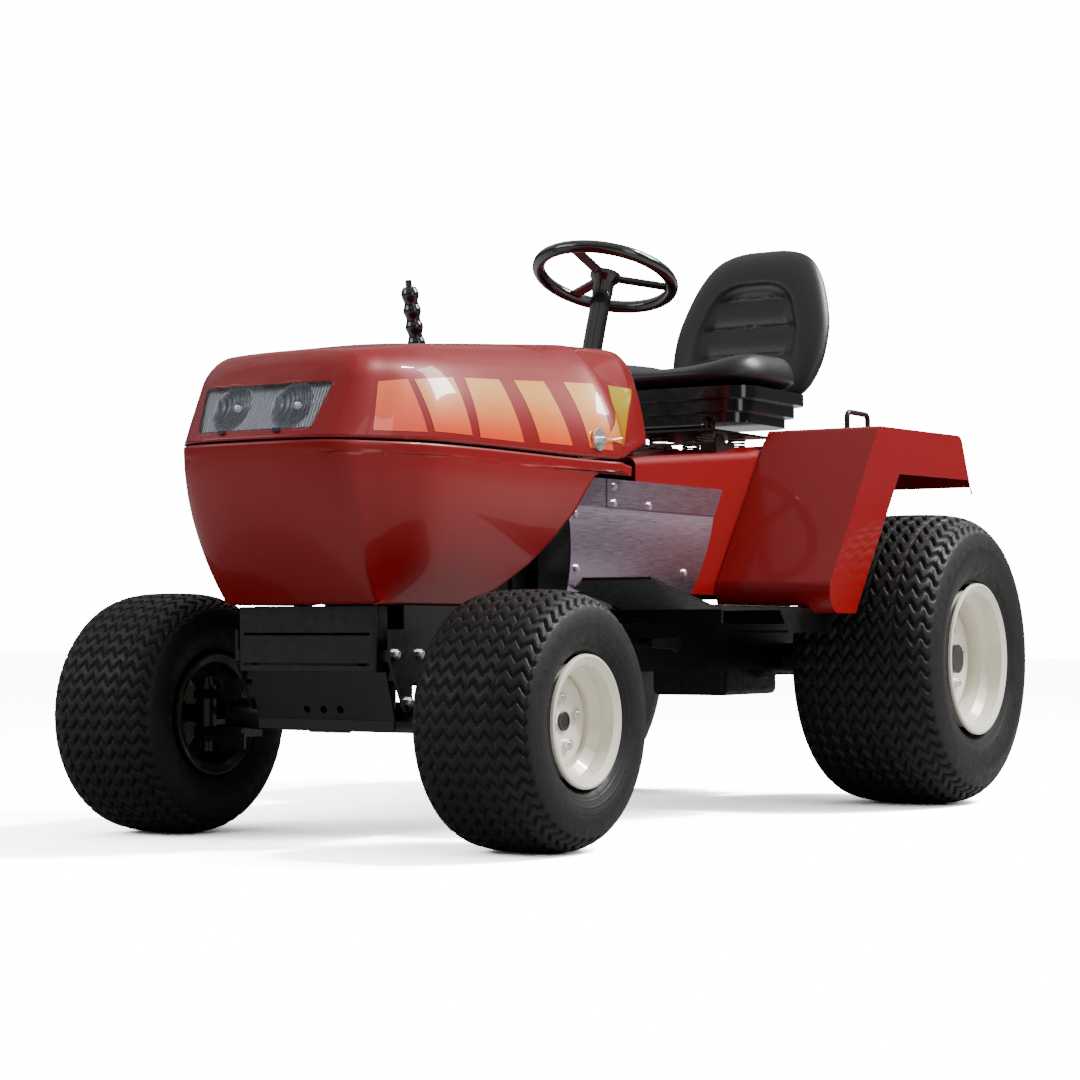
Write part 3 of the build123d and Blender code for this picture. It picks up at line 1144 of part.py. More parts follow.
def make_seat_springs():
    """Four springs under the frame, drawn as their envelopes."""
    pieces = []
    for x in (-60.0, 60.0):
        for y in (SEAT_HINGE_Y + 70, SEAT_HINGE_Y + 230):
            pieces.append(tube((x, y, DECK_Z), (x, y, CARRIER_Z), SPRING_R, SPRING_R - 5))
    return group(*pieces)


def make_seat_frame():
    """Sprung frame plate with the lugs of the seat's front hinge."""
    plate = block(-125, 125, SEAT_HINGE_Y - 22, SEAT_HINGE_Y + 275, CARRIER_Z, CARRIER_Z + CARRIER_T)
    for x in (-110.0, 110.0):
        lug = block(x - 3, x + 3, SEAT_HINGE_Y - 12, SEAT_HINGE_Y + 12, CARRIER_Z, SEAT_HINGE_Z + 9)
        plate += lug
    for x in (-EAR_X, EAR_X):
        slot = block(x - 6, x + 6, SEAT_HINGE_Y - 16, SEAT_HINGE_Y + 16, CARRIER_Z, CARRIER_Z + CARRIER_T)
        plate -= slot
    return plate + rod((-118, SEAT_HINGE_Y, SEAT_HINGE_Z), (118, SEAT_HINGE_Y, SEAT_HINGE_Z), SEAT_HINGE_R)


def make_seat_pan():
    """Moulded pan in three steps, with hinge ears and two back straps."""
    front_y, rear_y = CUSHION_FRONT + 12, CUSHION_REAR + 30
    levels = [(PAN_LOW, PAN_LOW + 24, 40), (PAN_LOW + 24, PAN_LOW + 52, 24), (PAN_LOW + 52, PAN_HIGH, 8)]
    pan = None
    for low, high, inset in levels:
        step = block(-CUSHION_HALF + inset, CUSHION_HALF - inset, front_y + inset, rear_y - inset, low, high)
        step = fillet(step.edges().filter_by(Axis.Z), 55)
        pan = step if pan is None else pan + step
    for x in (-EAR_X, EAR_X):
        ear = block(x - 4, x + 4, SEAT_HINGE_Y, SEAT_HINGE_Y + 45, SEAT_HINGE_Z - 7, PAN_LOW + 14)
        ear += rod((x - 4, SEAT_HINGE_Y, SEAT_HINGE_Z), (x + 4, SEAT_HINGE_Y, SEAT_HINGE_Z), SEAT_EAR_R)
        ear -= rod((x - 10, SEAT_HINGE_Y, SEAT_HINGE_Z), (x + 10, SEAT_HINGE_Y, SEAT_HINGE_Z), SEAT_HINGE_R + RUN)
        pan += ear
    lean = Vector(0, BACK_TOP[0] - BACK_FOOT[0], BACK_TOP[1] - BACK_FOOT[1]).normalized()
    off = Vector(0, lean.Z, -lean.Y) * (BACK_THICK / 2 + 4)
    foot = Vector(0, *BACK_FOOT) + off
    for x in (-90.0, 90.0):
        low = foot + lean * -45
        high = foot + lean * 200
        strap = side_plate([(low.Y, low.Z), (high.Y, high.Z), (high.Y + 6, high.Z - 2), (low.Y + 6, low.Z - 2)], x - 20, x + 20)
        strap += block(x - 20, x + 20, rear_y - 60, low.Y + 5, PAN_LOW + 30, PAN_LOW + 36)
        pan += strap
    return pan


def make_seat_cushion():
    """Seat cushion: a dished pad with raised sides."""
    low = PAN_HIGH + 0.5
    half = CUSHION_HALF
    outline = Spline((-half, low + 18), (-half * 0.86, low + 78), (-half * 0.5, low + 58), (0, low + 48),
                     (half * 0.5, low + 58), (half * 0.86, low + 78), (half, low + 18))
    face = make_face(Wire([outline, Line((half, low + 18), (half - 8, low)), Line((half - 8, low), (-half + 8, low)),
                           Line((-half + 8, low), (-half, low + 18))]))
    pad = extrude(Plane.XZ.offset(-CUSHION_FRONT) * face, CUSHION_FRONT - CUSHION_REAR)
    shape = block(-half, half, CUSHION_FRONT, CUSHION_REAR, low, low + 90)
    shape = fillet(shape.edges().filter_by(Axis.Z), 70)
    return pad & shape


def make_seat_back():
    """Seat back: a rounded shell-shaped pad on a leaning plane."""
    lean = Vector(0, BACK_TOP[0] - BACK_FOOT[0], BACK_TOP[1] - BACK_FOOT[1])
    height = lean.length
    plane = Plane(origin=(0, *BACK_FOOT), x_dir=(1, 0, 0), z_dir=Vector(1, 0, 0).cross(lean.normalized()))
    places = [(120, 3), (178, 60), (204, 160), (186, 260), (140, 350), (88, height - 5)]
    curve = Spline(*places, (0, height), *[(-x, y) for x, y in reversed(places)])
    face = make_face(Wire([curve, Line((-120, 3), (120, 3))]))
    return extrude(plane * face, BACK_THICK / 2, both=True)


# ---------------------------------------------------------------- levers and pedals
LEVER_X = -300.0
LEVER_Y = front(818.0)
LEVER_Z = 360.0
LEVER_SHAFT_R = 10.0
LEVER_LEAN = 13.6
GRIP_LOW = 640.0  # along the lever from its pivot
GRIP_HIGH = 775.0
GRIP_R = 17.5
BUTTON_R = 7.0
BUTTON_RISE = 14.0
BUTTON_ROD_R = 3.9
LEVER_R = 8.0
lean_angle = math.radians(LEVER_LEAN)
LEVER_AXIS = Vector(0, -math.sin(lean_angle), math.cos(lean_angle))


def on_lever(distance):
    """A point on the lift lever's axis."""
    return Vector(LEVER_X, LEVER_Y, LEVER_Z) + LEVER_AXIS * distance


def make_lift_lever():
    """Implement lift: a cross shaft with lift arms and the hand lever."""
    shaft_end = RAIL_X + 82
    piece = rod((LEVER_X - 12, LEVER_Y, LEVER_Z), (shaft_end, LEVER_Y, LEVER_Z), LEVER_SHAFT_R)
    piece += rod(on_lever(0), on_lever(GRIP_HIGH - 20), LEVER_R)
    piece += rod((LEVER_X - 12, LEVER_Y, LEVER_Z), (LEVER_X + 12, LEVER_Y, LEVER_Z), 20)
    for x in (-shaft_end + 4, shaft_end - 8):
        arm = side_plate([(LEVER_Y - 14, LEVER_Z - 13), (LEVER_Y - 14, LEVER_Z + 13), (LEVER_Y - 110, LEVER_Z + 8),
                          (LEVER_Y - 110, LEVER_Z - 8)], x, x + 8)
        piece += arm + rod((x, LEVER_Y, LEVER_Z), (x + 8, LEVER_Y, LEVER_Z), 18)
    return piece - rod(on_lever(GRIP_HIGH - 110), on_lever(GRIP_HIGH + 5), BUTTON_ROD_R + RUN)


def make_lift_grip():
    """Finger grip on the lever, scalloped on its front."""
    grip = tube(on_lever(GRIP_LOW), on_lever(GRIP_HIGH + 4), GRIP_R, LEVER_R)
    pitch = (GRIP_HIGH - GRIP_LOW) / 4
    side = LEVER_AXIS.cross(Vector(1, 0, 0)) * -(GRIP_R + 13)
    for i in range(4):
        centre = on_lever(GRIP_LOW + pitch * (i + 0.5)) + side
        grip -= rod(centre - Vector(30, 0, 0), centre + Vector(30, 0, 0), 18)
    return grip


def make_lift_button():
    """Push button in the lever's end, with its release rod."""
    button = rod(on_lever(GRIP_HIGH + 0.5), on_lever(GRIP_HIGH + 4 + BUTTON_RISE), BUTTON_R)
    return button + rod(on_lever(GRIP_HIGH - 70), on_lever(GRIP_HIGH + 1), BUTTON_ROD_R)


PEDAL_X = 372.0
PEDAL_Y = front(430.0)
PEDAL_Z = 415.0
PEDAL_SHAFT_R = 8.0


def make_brake_pedal():
    """Brake pedal: a cross shaft, a bent arm and a ribbed pad, on the right."""
    x = -PEDAL_X
    piece = rod((x - 30, PEDAL_Y, PEDAL_Z), (-RAIL_X - 0.5, PEDAL_Y, PEDAL_Z), PEDAL_SHAFT_R)
    arm = [(PEDAL_Y + 9, PEDAL_Z + 6), (PEDAL_Y - 9, PEDAL_Z - 6), (REST_FRONT - 24, 440), (REST_FRONT - 30, 520),
           (REST_FRONT - 12, 520), (REST_FRONT - 10, 450)]
    piece += side_plate(arm, x - 6, x + 6)
    pad = Plane(origin=(x, REST_FRONT - 22, 528), x_dir=(1, 0, 0), z_dir=(0, 1, 0.55))
    slab = extrude(plane_box(pad, 76, 62), 9)
    for i in range(4):
        rib = Plane(origin=pad.origin + pad.z_dir * 8 + pad.y_dir * (i - 1.5) * 14, x_dir=(1, 0, 0), z_dir=pad.z_dir)
        slab += extrude(plane_box(rib, 66, 5), 4)
    return piece + slab


def plane_box(plane, width, height):
    """A rectangle on a plane."""
    return plane * Rectangle(width, height)


TREADLE_Y = front(742.0)
TREADLE_Z = 452.0


def make_drive_pedal():
    """Forward and reverse treadle: a rocking plate on a short shaft, on the right foot rest."""
    plate = block(-436, -356, TREADLE_Y - 92, TREADLE_Y + 92, TREADLE_Z + 9, TREADLE_Z + 16)
    plate += block(-400, -392, TREADLE_Y - 14, TREADLE_Y + 14, TREADLE_Z - 9, TREADLE_Z + 10)
    for i in range(7):
        y = TREADLE_Y - 78 + i * 26
        plate += block(-430, -362, y - 3, y + 3, TREADLE_Z + 16, TREADLE_Z + 19)
    return plate - rod((-410, TREADLE_Y, TREADLE_Z), (-380, TREADLE_Y, TREADLE_Z), 6 + RUN)


def treadle_stand():
    """Two lugs and the shaft that carry the treadle on the right foot rest."""
    piece = rod((-418, TREADLE_Y, TREADLE_Z), (-374, TREADLE_Y, TREADLE_Z), 6)
    for x in (-416, -380):
        piece += block(x, x + 5, TREADLE_Y - 9, TREADLE_Y + 9, REST_Z - 2, TREADLE_Z + 6)
    return piece


def pedal_bracket():
    """The lug that carries the brake pedal's shaft under the right foot rest."""
    lug = block(-REST_OUT + 30, -REST_OUT + 36, PEDAL_Y - 12, PEDAL_Y + 12, PEDAL_Z - 12, REST_Z + 32)
    return lug


# ---------------------------------------------------------------- writing the sub-parts
def left_and_right(name, left):
    return {f"{name}_left": left, f"{name}_right": mirrored(left)}


def all_parts():
    """Every sub-part by its node name."""
    front_tyre = make_tyre(FRONT_CENTRE, FRONT_TYRE_R, FRONT_TYRE_W, FRONT_BEAD_R, FRONT_FLANGE_X)
    rear_tyre = make_tyre(REAR_CENTRE, REAR_TYRE_R, REAR_TYRE_W, REAR_BEAD_R, REAR_FLANGE_X)
    front_rim = make_rim(FRONT_CENTRE, FRONT_BEAD_R, FRONT_FLANGE_X, FRONT_DISC_X, FRONT_HUB_R, FRONT_DISC_BORE,
                         FRONT_STUD_PLACES)
    rear_rim = make_rim(REAR_CENTRE, REAR_BEAD_R, REAR_FLANGE_X, REAR_DISC_X, REAR_HUB_R, REAR_DISC_BORE,
                        REAR_STUD_PLACES)
    parts = {
        "frame": make_frame(),
        "axle_support": group(make_axle_support(), make_front_plate()),
        "grille_panel": make_grille(),
        "chassis_fasteners": make_fasteners(),
        "lower_cowl": make_lower_cowl(),
        "dash_tower": make_dash(),
        "pedestal": make_pedestal(),
        "side_panels": make_side_panels(),
        "grab_handles": make_grab_handles(),
        "foot_rests": make_foot_rests(),
        "engine": make_engine(),
        "engine_pulley": make_engine_pulley(),
        "drive_belt": make_belt(),
        "drive_pulley": make_drive_pulley(),
        "muffler": make_muffler(),
        "fuel_tank": make_tank(),
        "fuel_cap": make_tank_cap(),
        "battery": make_battery(),
        "transaxle_case": make_transaxle(),
        "axle_beam": make_axle_beam(),
        "spindle_left": make_spindle(1),
        "spindle_right": make_spindle(-1),
        "tie_rod": make_tie_rod(),
        "bellcrank": make_bellcrank(),
        "drag_link": make_drag_link(),
        "pitman_arm": make_pitman_arm(),
        "steering_gearbox": make_gearbox(),
        "column_tube": make_column_tube(),
        "steering_shaft": make_steering_shaft(),
        "steering_wheel": make_steering_wheel(),
        "hood": make_hood(),
        "headlight_lens": make_lens(),
        "headlight_reflectors": make_reflectors(),
        "hood_pins": make_hood_pins(),
        "ignition_key": make_key(),
        "seat_base": make_seat_base(),
        "seat_springs": make_seat_springs(),
        "seat_frame": make_seat_frame(),
        "seat_pan": make_seat_pan(),
        "seat_cushion": make_seat_cushion(),
        "seat_back": make_seat_back(),
        "lift_lever": make_lift_lever(),
        "lift_grip": make_lift_grip(),
        "lift_button": make_lift_button(),
        "brake_pedal": make_brake_pedal(),
        "drive_pedal": make_drive_pedal(),
    }
    parts.update(left_and_right("fender", make_fender()))
    parts.update(left_and_right("front_tyre", front_tyre))
    parts.update(left_and_right("front_rim", front_rim))
    parts.update(left_and_right("front_hub", make_front_hub()))
    parts.update(left_and_right("rear_tyre", rear_tyre))
    parts.update(left_and_right("rear_rim", rear_rim))
    parts.update(left_and_right("rear_axle", make_rear_axle()))
    return parts


os.makedirs("parts", exist_ok=True)
for node, shape in all_parts().items():
    export_step(shape, f"parts/{node}.step")
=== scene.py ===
import bmesh
import bpy
import json
import math
import numpy as np
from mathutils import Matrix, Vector


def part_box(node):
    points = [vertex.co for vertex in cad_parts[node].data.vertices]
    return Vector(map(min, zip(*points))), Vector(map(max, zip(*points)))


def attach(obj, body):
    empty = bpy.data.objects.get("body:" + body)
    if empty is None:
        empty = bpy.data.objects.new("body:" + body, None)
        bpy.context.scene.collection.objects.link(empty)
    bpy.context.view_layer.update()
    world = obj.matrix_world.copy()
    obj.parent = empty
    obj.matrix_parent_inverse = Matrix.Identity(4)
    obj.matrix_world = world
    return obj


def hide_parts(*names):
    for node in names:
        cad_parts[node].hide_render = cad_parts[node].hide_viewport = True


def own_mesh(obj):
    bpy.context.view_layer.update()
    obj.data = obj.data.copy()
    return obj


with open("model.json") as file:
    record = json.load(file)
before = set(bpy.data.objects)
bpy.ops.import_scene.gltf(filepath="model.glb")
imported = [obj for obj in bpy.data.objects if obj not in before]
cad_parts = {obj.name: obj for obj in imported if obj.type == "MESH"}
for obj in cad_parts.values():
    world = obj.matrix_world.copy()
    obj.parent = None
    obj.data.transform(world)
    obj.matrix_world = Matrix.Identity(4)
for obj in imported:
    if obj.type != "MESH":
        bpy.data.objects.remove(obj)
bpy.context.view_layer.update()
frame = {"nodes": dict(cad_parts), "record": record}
nodes = frame["nodes"]
scene = bpy.context.scene


# ------------------------------------------------------------------ materials
def material(name, colour, metallic=0.0, roughness=0.5, coat=0.0, coat_rough=0.05, grain=0.0, scale=400.0,
             bump=0.0, bump_scale=300.0, stretch=(1, 1, 1), shine=0.5):
    """A principled material with fine noise in its colour, roughness and height."""
    m = bpy.data.materials.new(name)
    m.use_nodes = True
    tree = m.node_tree
    shader = tree.nodes["Principled BSDF"]
    shader.inputs["Base Color"].default_value = (*colour, 1)
    shader.inputs["Metallic"].default_value = metallic
    shader.inputs["Roughness"].default_value = roughness
    shader.inputs["Coat Weight"].default_value = coat
    shader.inputs["Coat Roughness"].default_value = coat_rough
    shader.inputs["Specular IOR Level"].default_value = shine
    place = tree.nodes.new("ShaderNodeTexCoord")
    mapping = tree.nodes.new("ShaderNodeMapping")
    mapping.inputs["Scale"].default_value = stretch
    tree.links.new(place.outputs["Object"], mapping.inputs["Vector"])
    if grain:
        noise = tree.nodes.new("ShaderNodeTexNoise")
        noise.inputs["Scale"].default_value = scale
        noise.inputs["Detail"].default_value = 4
        tree.links.new(mapping.outputs["Vector"], noise.inputs["Vector"])
        spread = tree.nodes.new("ShaderNodeMapRange")
        spread.inputs["From Min"].default_value = 0.3
        spread.inputs["From Max"].default_value = 0.7
        spread.inputs["To Min"].default_value = max(0.0, roughness - grain)
        spread.inputs["To Max"].default_value = min(1.0, roughness + grain)
        tree.links.new(noise.outputs["Fac"], spread.inputs["Value"])
        tree.links.new(spread.outputs["Result"], shader.inputs["Roughness"])
        tint = tree.nodes.new("ShaderNodeMix")
        tint.data_type = "RGBA"
        tint.inputs["A"].default_value = (*[c * (1 - grain) for c in colour], 1)
        tint.inputs["B"].default_value = (*[min(1, c * (1 + grain)) for c in colour], 1)
        tree.links.new(noise.outputs["Fac"], tint.inputs["Factor"])
        tree.links.new(tint.outputs["Result"], shader.inputs["Base Color"])
    if bump:
        height = tree.nodes.new("ShaderNodeTexNoise")
        height.inputs["Scale"].default_value = bump_scale
        height.inputs["Detail"].default_value = 3
        tree.links.new(mapping.outputs["Vector"], height.inputs["Vector"])
        relief = tree.nodes.new("ShaderNodeBump")
        relief.inputs["Strength"].default_value = bump
        relief.inputs["Distance"].default_value = 0.001
        tree.links.new(height.outputs["Fac"], relief.inputs["Height"])
        tree.links.new(relief.outputs["Normal"], shader.inputs["Normal"])
    return m


DEEP_BLACK = (0.0045, 0.0045, 0.005)
RED = (0.21, 0.0, 0.0012)
paint = material("body paint", RED, 0.10, 0.40, 0.28, 0.04, grain=0.10, scale=900, shine=0.3)
black_paint = material("black paint", DEEP_BLACK, 0.0, 0.36, 0.2, 0.2, grain=0.08, scale=90, shine=0.35)
grille_paint = material("grille paint", DEEP_BLACK, 0.0, 0.32, 0.3, 0.15, grain=0.06, scale=60, shine=0.35)
cream = material("ivory paint", (0.80, 0.76, 0.64), 0.0, 0.30, 0.6, 0.08, grain=0.04, scale=40)
chrome = material("bright bolt", (0.86, 0.86, 0.87), 0.9, 0.30, grain=0.05, scale=300)
dark_metal = material("dark hub", (0.02, 0.02, 0.022), 0.6, 0.45, grain=0.1, scale=150)
panel = material("dark steel", (0.40, 0.34, 0.42), 1.0, 0.34, grain=0.10, scale=60, stretch=(1, 0.4, 30))
cast = material("cast iron", (0.016, 0.016, 0.018), 0.3, 0.62, grain=0.12, scale=120,
                bump=0.5, bump_scale=500)
steel = material("turned steel", (0.42, 0.42, 0.44), 1.0, 0.32, grain=0.08, scale=200)
rubber = material("rubber", (0.014, 0.014, 0.015), 0.0, 0.6, grain=0.08, scale=200, bump=0.2)
moulded = material("moulded plastic", (0.018, 0.018, 0.020), 0.0, 0.5, grain=0.06, scale=200, bump=0.3)
gloss = material("gloss plastic", DEEP_BLACK, 0.0, 0.16, 0.6, 0.05, grain=0.03, scale=60)
silver = material("reflector", (0.86, 0.87, 0.9), 1.0, 0.12)
vinyl = material("vinyl", (0.005, 0.005, 0.0055), 0.0, 0.40, 0.12, 0.3, grain=0.06, scale=300,
                 bump=0.5, bump_scale=420, shine=0.4)
tyre_rubber = material("tyre rubber", (0.0040, 0.0040, 0.0043), 0.0, 0.58, grain=0.12, scale=60,
                       bump=0.35, bump_scale=250, shine=0.32)

glass = bpy.data.materials.new("clear lens")
glass.use_nodes = True
clear = glass.node_tree.nodes["Principled BSDF"]
clear.inputs["Base Color"].default_value = (0.93, 0.95, 0.97, 1)
clear.inputs["Roughness"].default_value = 0.03
clear.inputs["Transmission Weight"].default_value = 1.0
clear.inputs["IOR"].default_value = 1.12
clear.inputs["Coat Weight"].default_value = 0.5
clear.inputs["Coat Roughness"].default_value = 0.02

FINISHES = {
    "body_red": paint, "frame_paint": black_paint, "grille_paint": grille_paint, "rim_cream": cream,
    "bolt_chrome": chrome, "hub_steel": dark_metal, "panel_steel": panel, "engine_cast": cast,
    "pulley_steel": steel, "case_aluminium": cast, "belt_rubber": rubber, "tank_plastic": moulded,
    "battery_plastic": moulded, "column_plastic": gloss, "wheel_plastic": gloss, "lens_clear": glass,
    "reflector": silver, "spring_steel": steel, "pan_plastic": gloss, "seat_vinyl": vinyl,
    "grip_rubber": rubber, "tyre": tyre_rubber,
}
for part in frame["record"]["subparts"]:
    node = nodes[part["node"]]
    node.data.materials.clear()
    node.data.materials.append(FINISHES[part["material_slot"]])


def painted_inner_shade(finish, split_x):
    """A copy of a finish with painted shade: it turns near black on the side of the wheel that faces the
    machine, where shade falls.
    """
    m = finish.copy()
    tree = m.node_tree
    shader = tree.nodes["Principled BSDF"]
    place = tree.nodes.new("ShaderNodeTexCoord")
    split = tree.nodes.new("ShaderNodeSeparateXYZ")
    size = tree.nodes.new("ShaderNodeMath")
    size.operation = "ABSOLUTE"
    inner = tree.nodes.new("ShaderNodeMath")
    inner.operation = "LESS_THAN"
    inner.inputs[1].default_value = split_x
    mix = tree.nodes.new("ShaderNodeMix")
    mix.data_type = "RGBA"
    # painted shade: the near-black colour given to the wheel's inner side
    mix.inputs["B"].default_value = (0.012, 0.012, 0.013, 1)
    source = shader.inputs["Base Color"].links[0].from_socket
    tree.links.new(place.outputs["Object"], split.inputs["Vector"])
    tree.links.new(split.outputs["X"], size.inputs[0])
    tree.links.new(size.outputs["Value"], inner.inputs[0])
    tree.links.new(inner.outputs["Value"], mix.inputs["Factor"])
    tree.links.new(source, mix.inputs["A"])
    tree.links.new(mix.outputs["Result"], shader.inputs["Base Color"])
    return m


def hub_finish(plane_x, y, z, inner_r):
    """Dark hub whose lug bolts, outside a radius and beyond a plane, are bright."""
    m = dark_metal.copy()
    tree = m.node_tree
    shader = tree.nodes["Principled BSDF"]
    place = tree.nodes.new("ShaderNodeTexCoord")
    split = tree.nodes.new("ShaderNodeSeparateXYZ")
    tree.links.new(place.outputs["Object"], split.inputs["Vector"])
    from_axis = tree.nodes.new("ShaderNodeVectorMath")
    from_axis.operation = "DISTANCE"
    flat = tree.nodes.new("ShaderNodeCombineXYZ")
    from_axis.inputs[1].default_value = (0, y, z)
    tree.links.new(split.outputs["Y"], flat.inputs["Y"])
    tree.links.new(split.outputs["Z"], flat.inputs["Z"])
    tree.links.new(flat.outputs["Vector"], from_axis.inputs[0])
    tests = []
    limits = ((from_axis.outputs["Value"], inner_r, False), (split.outputs["X"], plane_x, True))
    for socket, limit, absolute in limits:
        if absolute:
            size = tree.nodes.new("ShaderNodeMath")
            size.operation = "ABSOLUTE"
            tree.links.new(socket, size.inputs[0])
            socket = size.outputs["Value"]
        test = tree.nodes.new("ShaderNodeMath")
        test.operation = "GREATER_THAN"
        test.inputs[1].default_value = limit
        tree.links.new(socket, test.inputs[0])
        tests.append(test)
    both = tree.nodes.new("ShaderNodeMath")
    both.operation = "MULTIPLY"
    tree.links.new(tests[0].outputs["Value"], both.inputs[0])
    tree.links.new(tests[1].outputs["Value"], both.inputs[1])
    mix = tree.nodes.new("ShaderNodeMix")
    mix.data_type = "RGBA"
    mix.inputs["B"].default_value = (0.72, 0.72, 0.74, 1)
    tree.links.new(shader.inputs["Base Color"].links[0].from_socket, mix.inputs["A"])
    tree.links.new(both.outputs["Value"], mix.inputs["Factor"])
    tree.links.new(mix.outputs["Result"], shader.inputs["Base Color"])
    tree.links.new(both.outputs["Value"], shader.inputs["Metallic"])
    for link in list(shader.inputs["Roughness"].links):
        tree.links.remove(link)
    shader.inputs["Roughness"].default_value = 0.28
    return m


front_hub = hub_finish(0.462, -0.7653, 0.2285, 0.030)
rear_hub = hub_finish(0.56, 0.7297, 0.323, 0.048)
for label in ("left", "right"):
    nodes[f"front_hub_{label}"].data.materials[0] = front_hub
    nodes[f"rear_axle_{label}"].data.materials[0] = rear_hub
# the cream rims get painted shade on the side that faces the machine
for name, split_x in (("front", 0.407), ("rear", 0.478)):
    cream_with_inner_shade = painted_inner_shade(cream, split_x)
    for label in ("left", "right"):
        nodes[f"{name}_rim_{label}"].data.materials[0] = cream_with_inner_shade
nodes["foot_rests"].data.materials[0] = black_paint
nodes["transaxle_case"].data.materials[0] = cast


# ------------------------------------------------------------------ mesh helpers
def add_mesh(name, points, faces, finish, body, smooth=True):
    """A mesh in the row frame that rides on a body."""
    data = bpy.data.meshes.new(name)
    data.from_pydata([tuple(map(float, p)) for p in points], [], [tuple(map(int, f)) for f in faces])
    data.validate()
    if smooth:
        data.polygons.foreach_set("use_smooth", [True] * len(data.polygons))
    data.materials.append(finish)
    piece = bpy.data.objects.new(name, data)
    scene.collection.objects.link(piece)
    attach(piece, body)
    return piece


def grid_faces(rows, columns, wrap=False, flip=False):
    """Quads over a grid of points stored row by row."""
    last = rows if wrap else rows - 1
    faces = []
    for i in range(last):
        for j in range(columns - 1):
            a, b = i * columns + j, i * columns + j + 1
            c, d = ((i + 1) % rows) * columns + j + 1, ((i + 1) % rows) * columns + j
            faces.append((a, d, c, b) if flip else (a, b, c, d))
    return faces


def face_outward(piece, inside):
    """Turns every face over if most of them look toward the inside point."""
    centre = Vector(inside)
    away = sum((p.center - centre).dot(p.normal) * p.area for p in piece.data.polygons)
    if away < 0:
        piece.data.flip_normals()
    return piece


def thicken(piece, thickness, offset=-1.0):
    """Gives a sheet its thickness."""
    shell = piece.modifiers.new("sheet", "SOLIDIFY")
    shell.thickness = thickness
    shell.offset = offset
    return piece


def smooth_line(points, count):
    """Evenly spaced points on a smooth curve through the given ones."""
    p = np.array(points, float)
    ends = np.vstack([2 * p[0] - p[1], p, 2 * p[-1] - p[-2]])
    fine = []
    for i in range(1, len(ends) - 2):
        a, b, c, d = ends[i - 1:i + 3]
        for t in np.linspace(0, 1, 24, endpoint=False):
            fine.append(0.5 * (2 * b + (c - a) * t + (2 * a - 5 * b + 4 * c - d) * t * t
                               + (3 * b - a - 3 * c + d) * t ** 3))
    fine.append(p[-1])
    fine = np.array(fine)
    run = np.concatenate([[0], np.cumsum(np.linalg.norm(np.diff(fine, axis=0), axis=1))])
    wanted = np.linspace(0, run[-1], count)
    return np.stack([np.interp(wanted, run, fine[:, k]) for k in range(p.shape[1])], axis=1)


# ------------------------------------------------------------------ hood, dash and lower cowl
NOSE_Y = -1.0527
SEAM_Z = 0.714
PLAN = [(0.0, -1.0527), (0.072, -1.0498), (0.143, -1.0343), (0.1813, -1.0029), (0.2068, -0.9629),
        (0.2349, -0.9140), (0.263, -0.8413), (0.275, -0.7263), (0.279, -0.58), (0.281, -0.4563),
        (0.292, -0.3373), (0.3025, -0.2823)]
TAIL = [(0.300, -0.262), (0.283, -0.222), (0.238, -0.100), (0.190, 0.0327)]
TOP_LINE = [(-1.10, 0.858), (-0.925, 0.884), (-0.765, 0.909), (-0.565, 0.929), (-0.265, 0.957),
            (0.035, 0.973), (0.195, 0.976)]
SHOULDER = 0.045
TOP_SAG = 0.26  # the top falls by this times the square of x


def top_height(x, y):
    ys, zs = zip(*TOP_LINE)
    return np.interp(y, ys, zs) - TOP_SAG * x * x


def wall_point(x, y, z):
    """A seam point moved up or down the wall: tucked in, and leaned back at the nose."""
    rise = z - SEAM_Z
    share = np.clip((x - 0.168) / 0.11, 0, 1.1)
    share = np.where(y > -0.26, np.maximum(share, 0.5), share)
    tuck = np.where(rise > 0, 1.88 * rise ** 2, 1.40 * rise ** 2) * share
    fade = np.clip(1 - (y - NOSE_Y) / 0.5, 0, 1)
    lean = np.where(rise > 0, 0.5 * rise * fade ** 1.5, 2.0 * rise ** 2 * fade ** 3.7)
    return x - tuck, y + lean


def body_ribs(plan, low, steps, centre_back):
    """Ribs from the seam over the shoulder to the centre line, one for each plan point."""
    angle = np.linspace(0, math.pi / 2, steps)[None, :]
    x, y = plan[:, :1], plan[:, 1:]
    ease = 0.09 * np.logaddexp(0, (y + 0.78) / 0.09)
    centre = np.minimum(-0.78 + 0.30 * (y + 0.78) + 0.70 * ease, centre_back)
    near, far = np.zeros((len(plan), steps)), np.full((len(plan), steps), 1.4)
    reach = np.maximum(np.hypot(x, y - centre), 0.02)
    for _ in range(40):
        mid = (near + far) / 2
        share = mid * np.cos(angle) / reach
        z = low[:, None] + mid * np.sin(angle)
        wx, wy = wall_point(x, y, z)
        px, py = share * wx, centre + share * (wy - centre)
        side = (1 - share) * reach
        above = top_height(px, py) - z
        u, v = np.maximum(SHOULDER - side, 0), np.maximum(SHOULDER - above, 0)
        inside = np.where((u > 0) | (v > 0), SHOULDER - np.hypot(u, v), np.minimum(side, above))
        near, far = np.where(inside > 0, mid, near), np.where(inside > 0, far, mid)
    return np.stack([px, py, z], axis=2)


def seam_height(y):
    """The seam is level, then climbs behind the hood's rear corners."""
    return np.interp(y, [-0.29, -0.27, 0.0047, 0.16], [0.7165, 0.7185, 0.770, 0.778])


def mirror_rows(points):
    """Rows for the left side, with the mirrored rows of the right side put in front."""
    other = points[::-1].copy()
    other[:, :, 0] *= -1
    meet = abs(points[0, :, 0]).max() < 1e-6
    return np.vstack([other[:-1] if meet else other, points])


half_plan = np.vstack([smooth_line(PLAN, 120)[:-1], smooth_line([PLAN[-1], *TAIL], 50)])
hood_half = body_ribs(half_plan, seam_height(half_plan[:, 1]), 64, 0.0327)
hood_rows = mirror_rows(hood_half)


NOSE_REAR = -0.8  # faces ahead of this belong to the nose


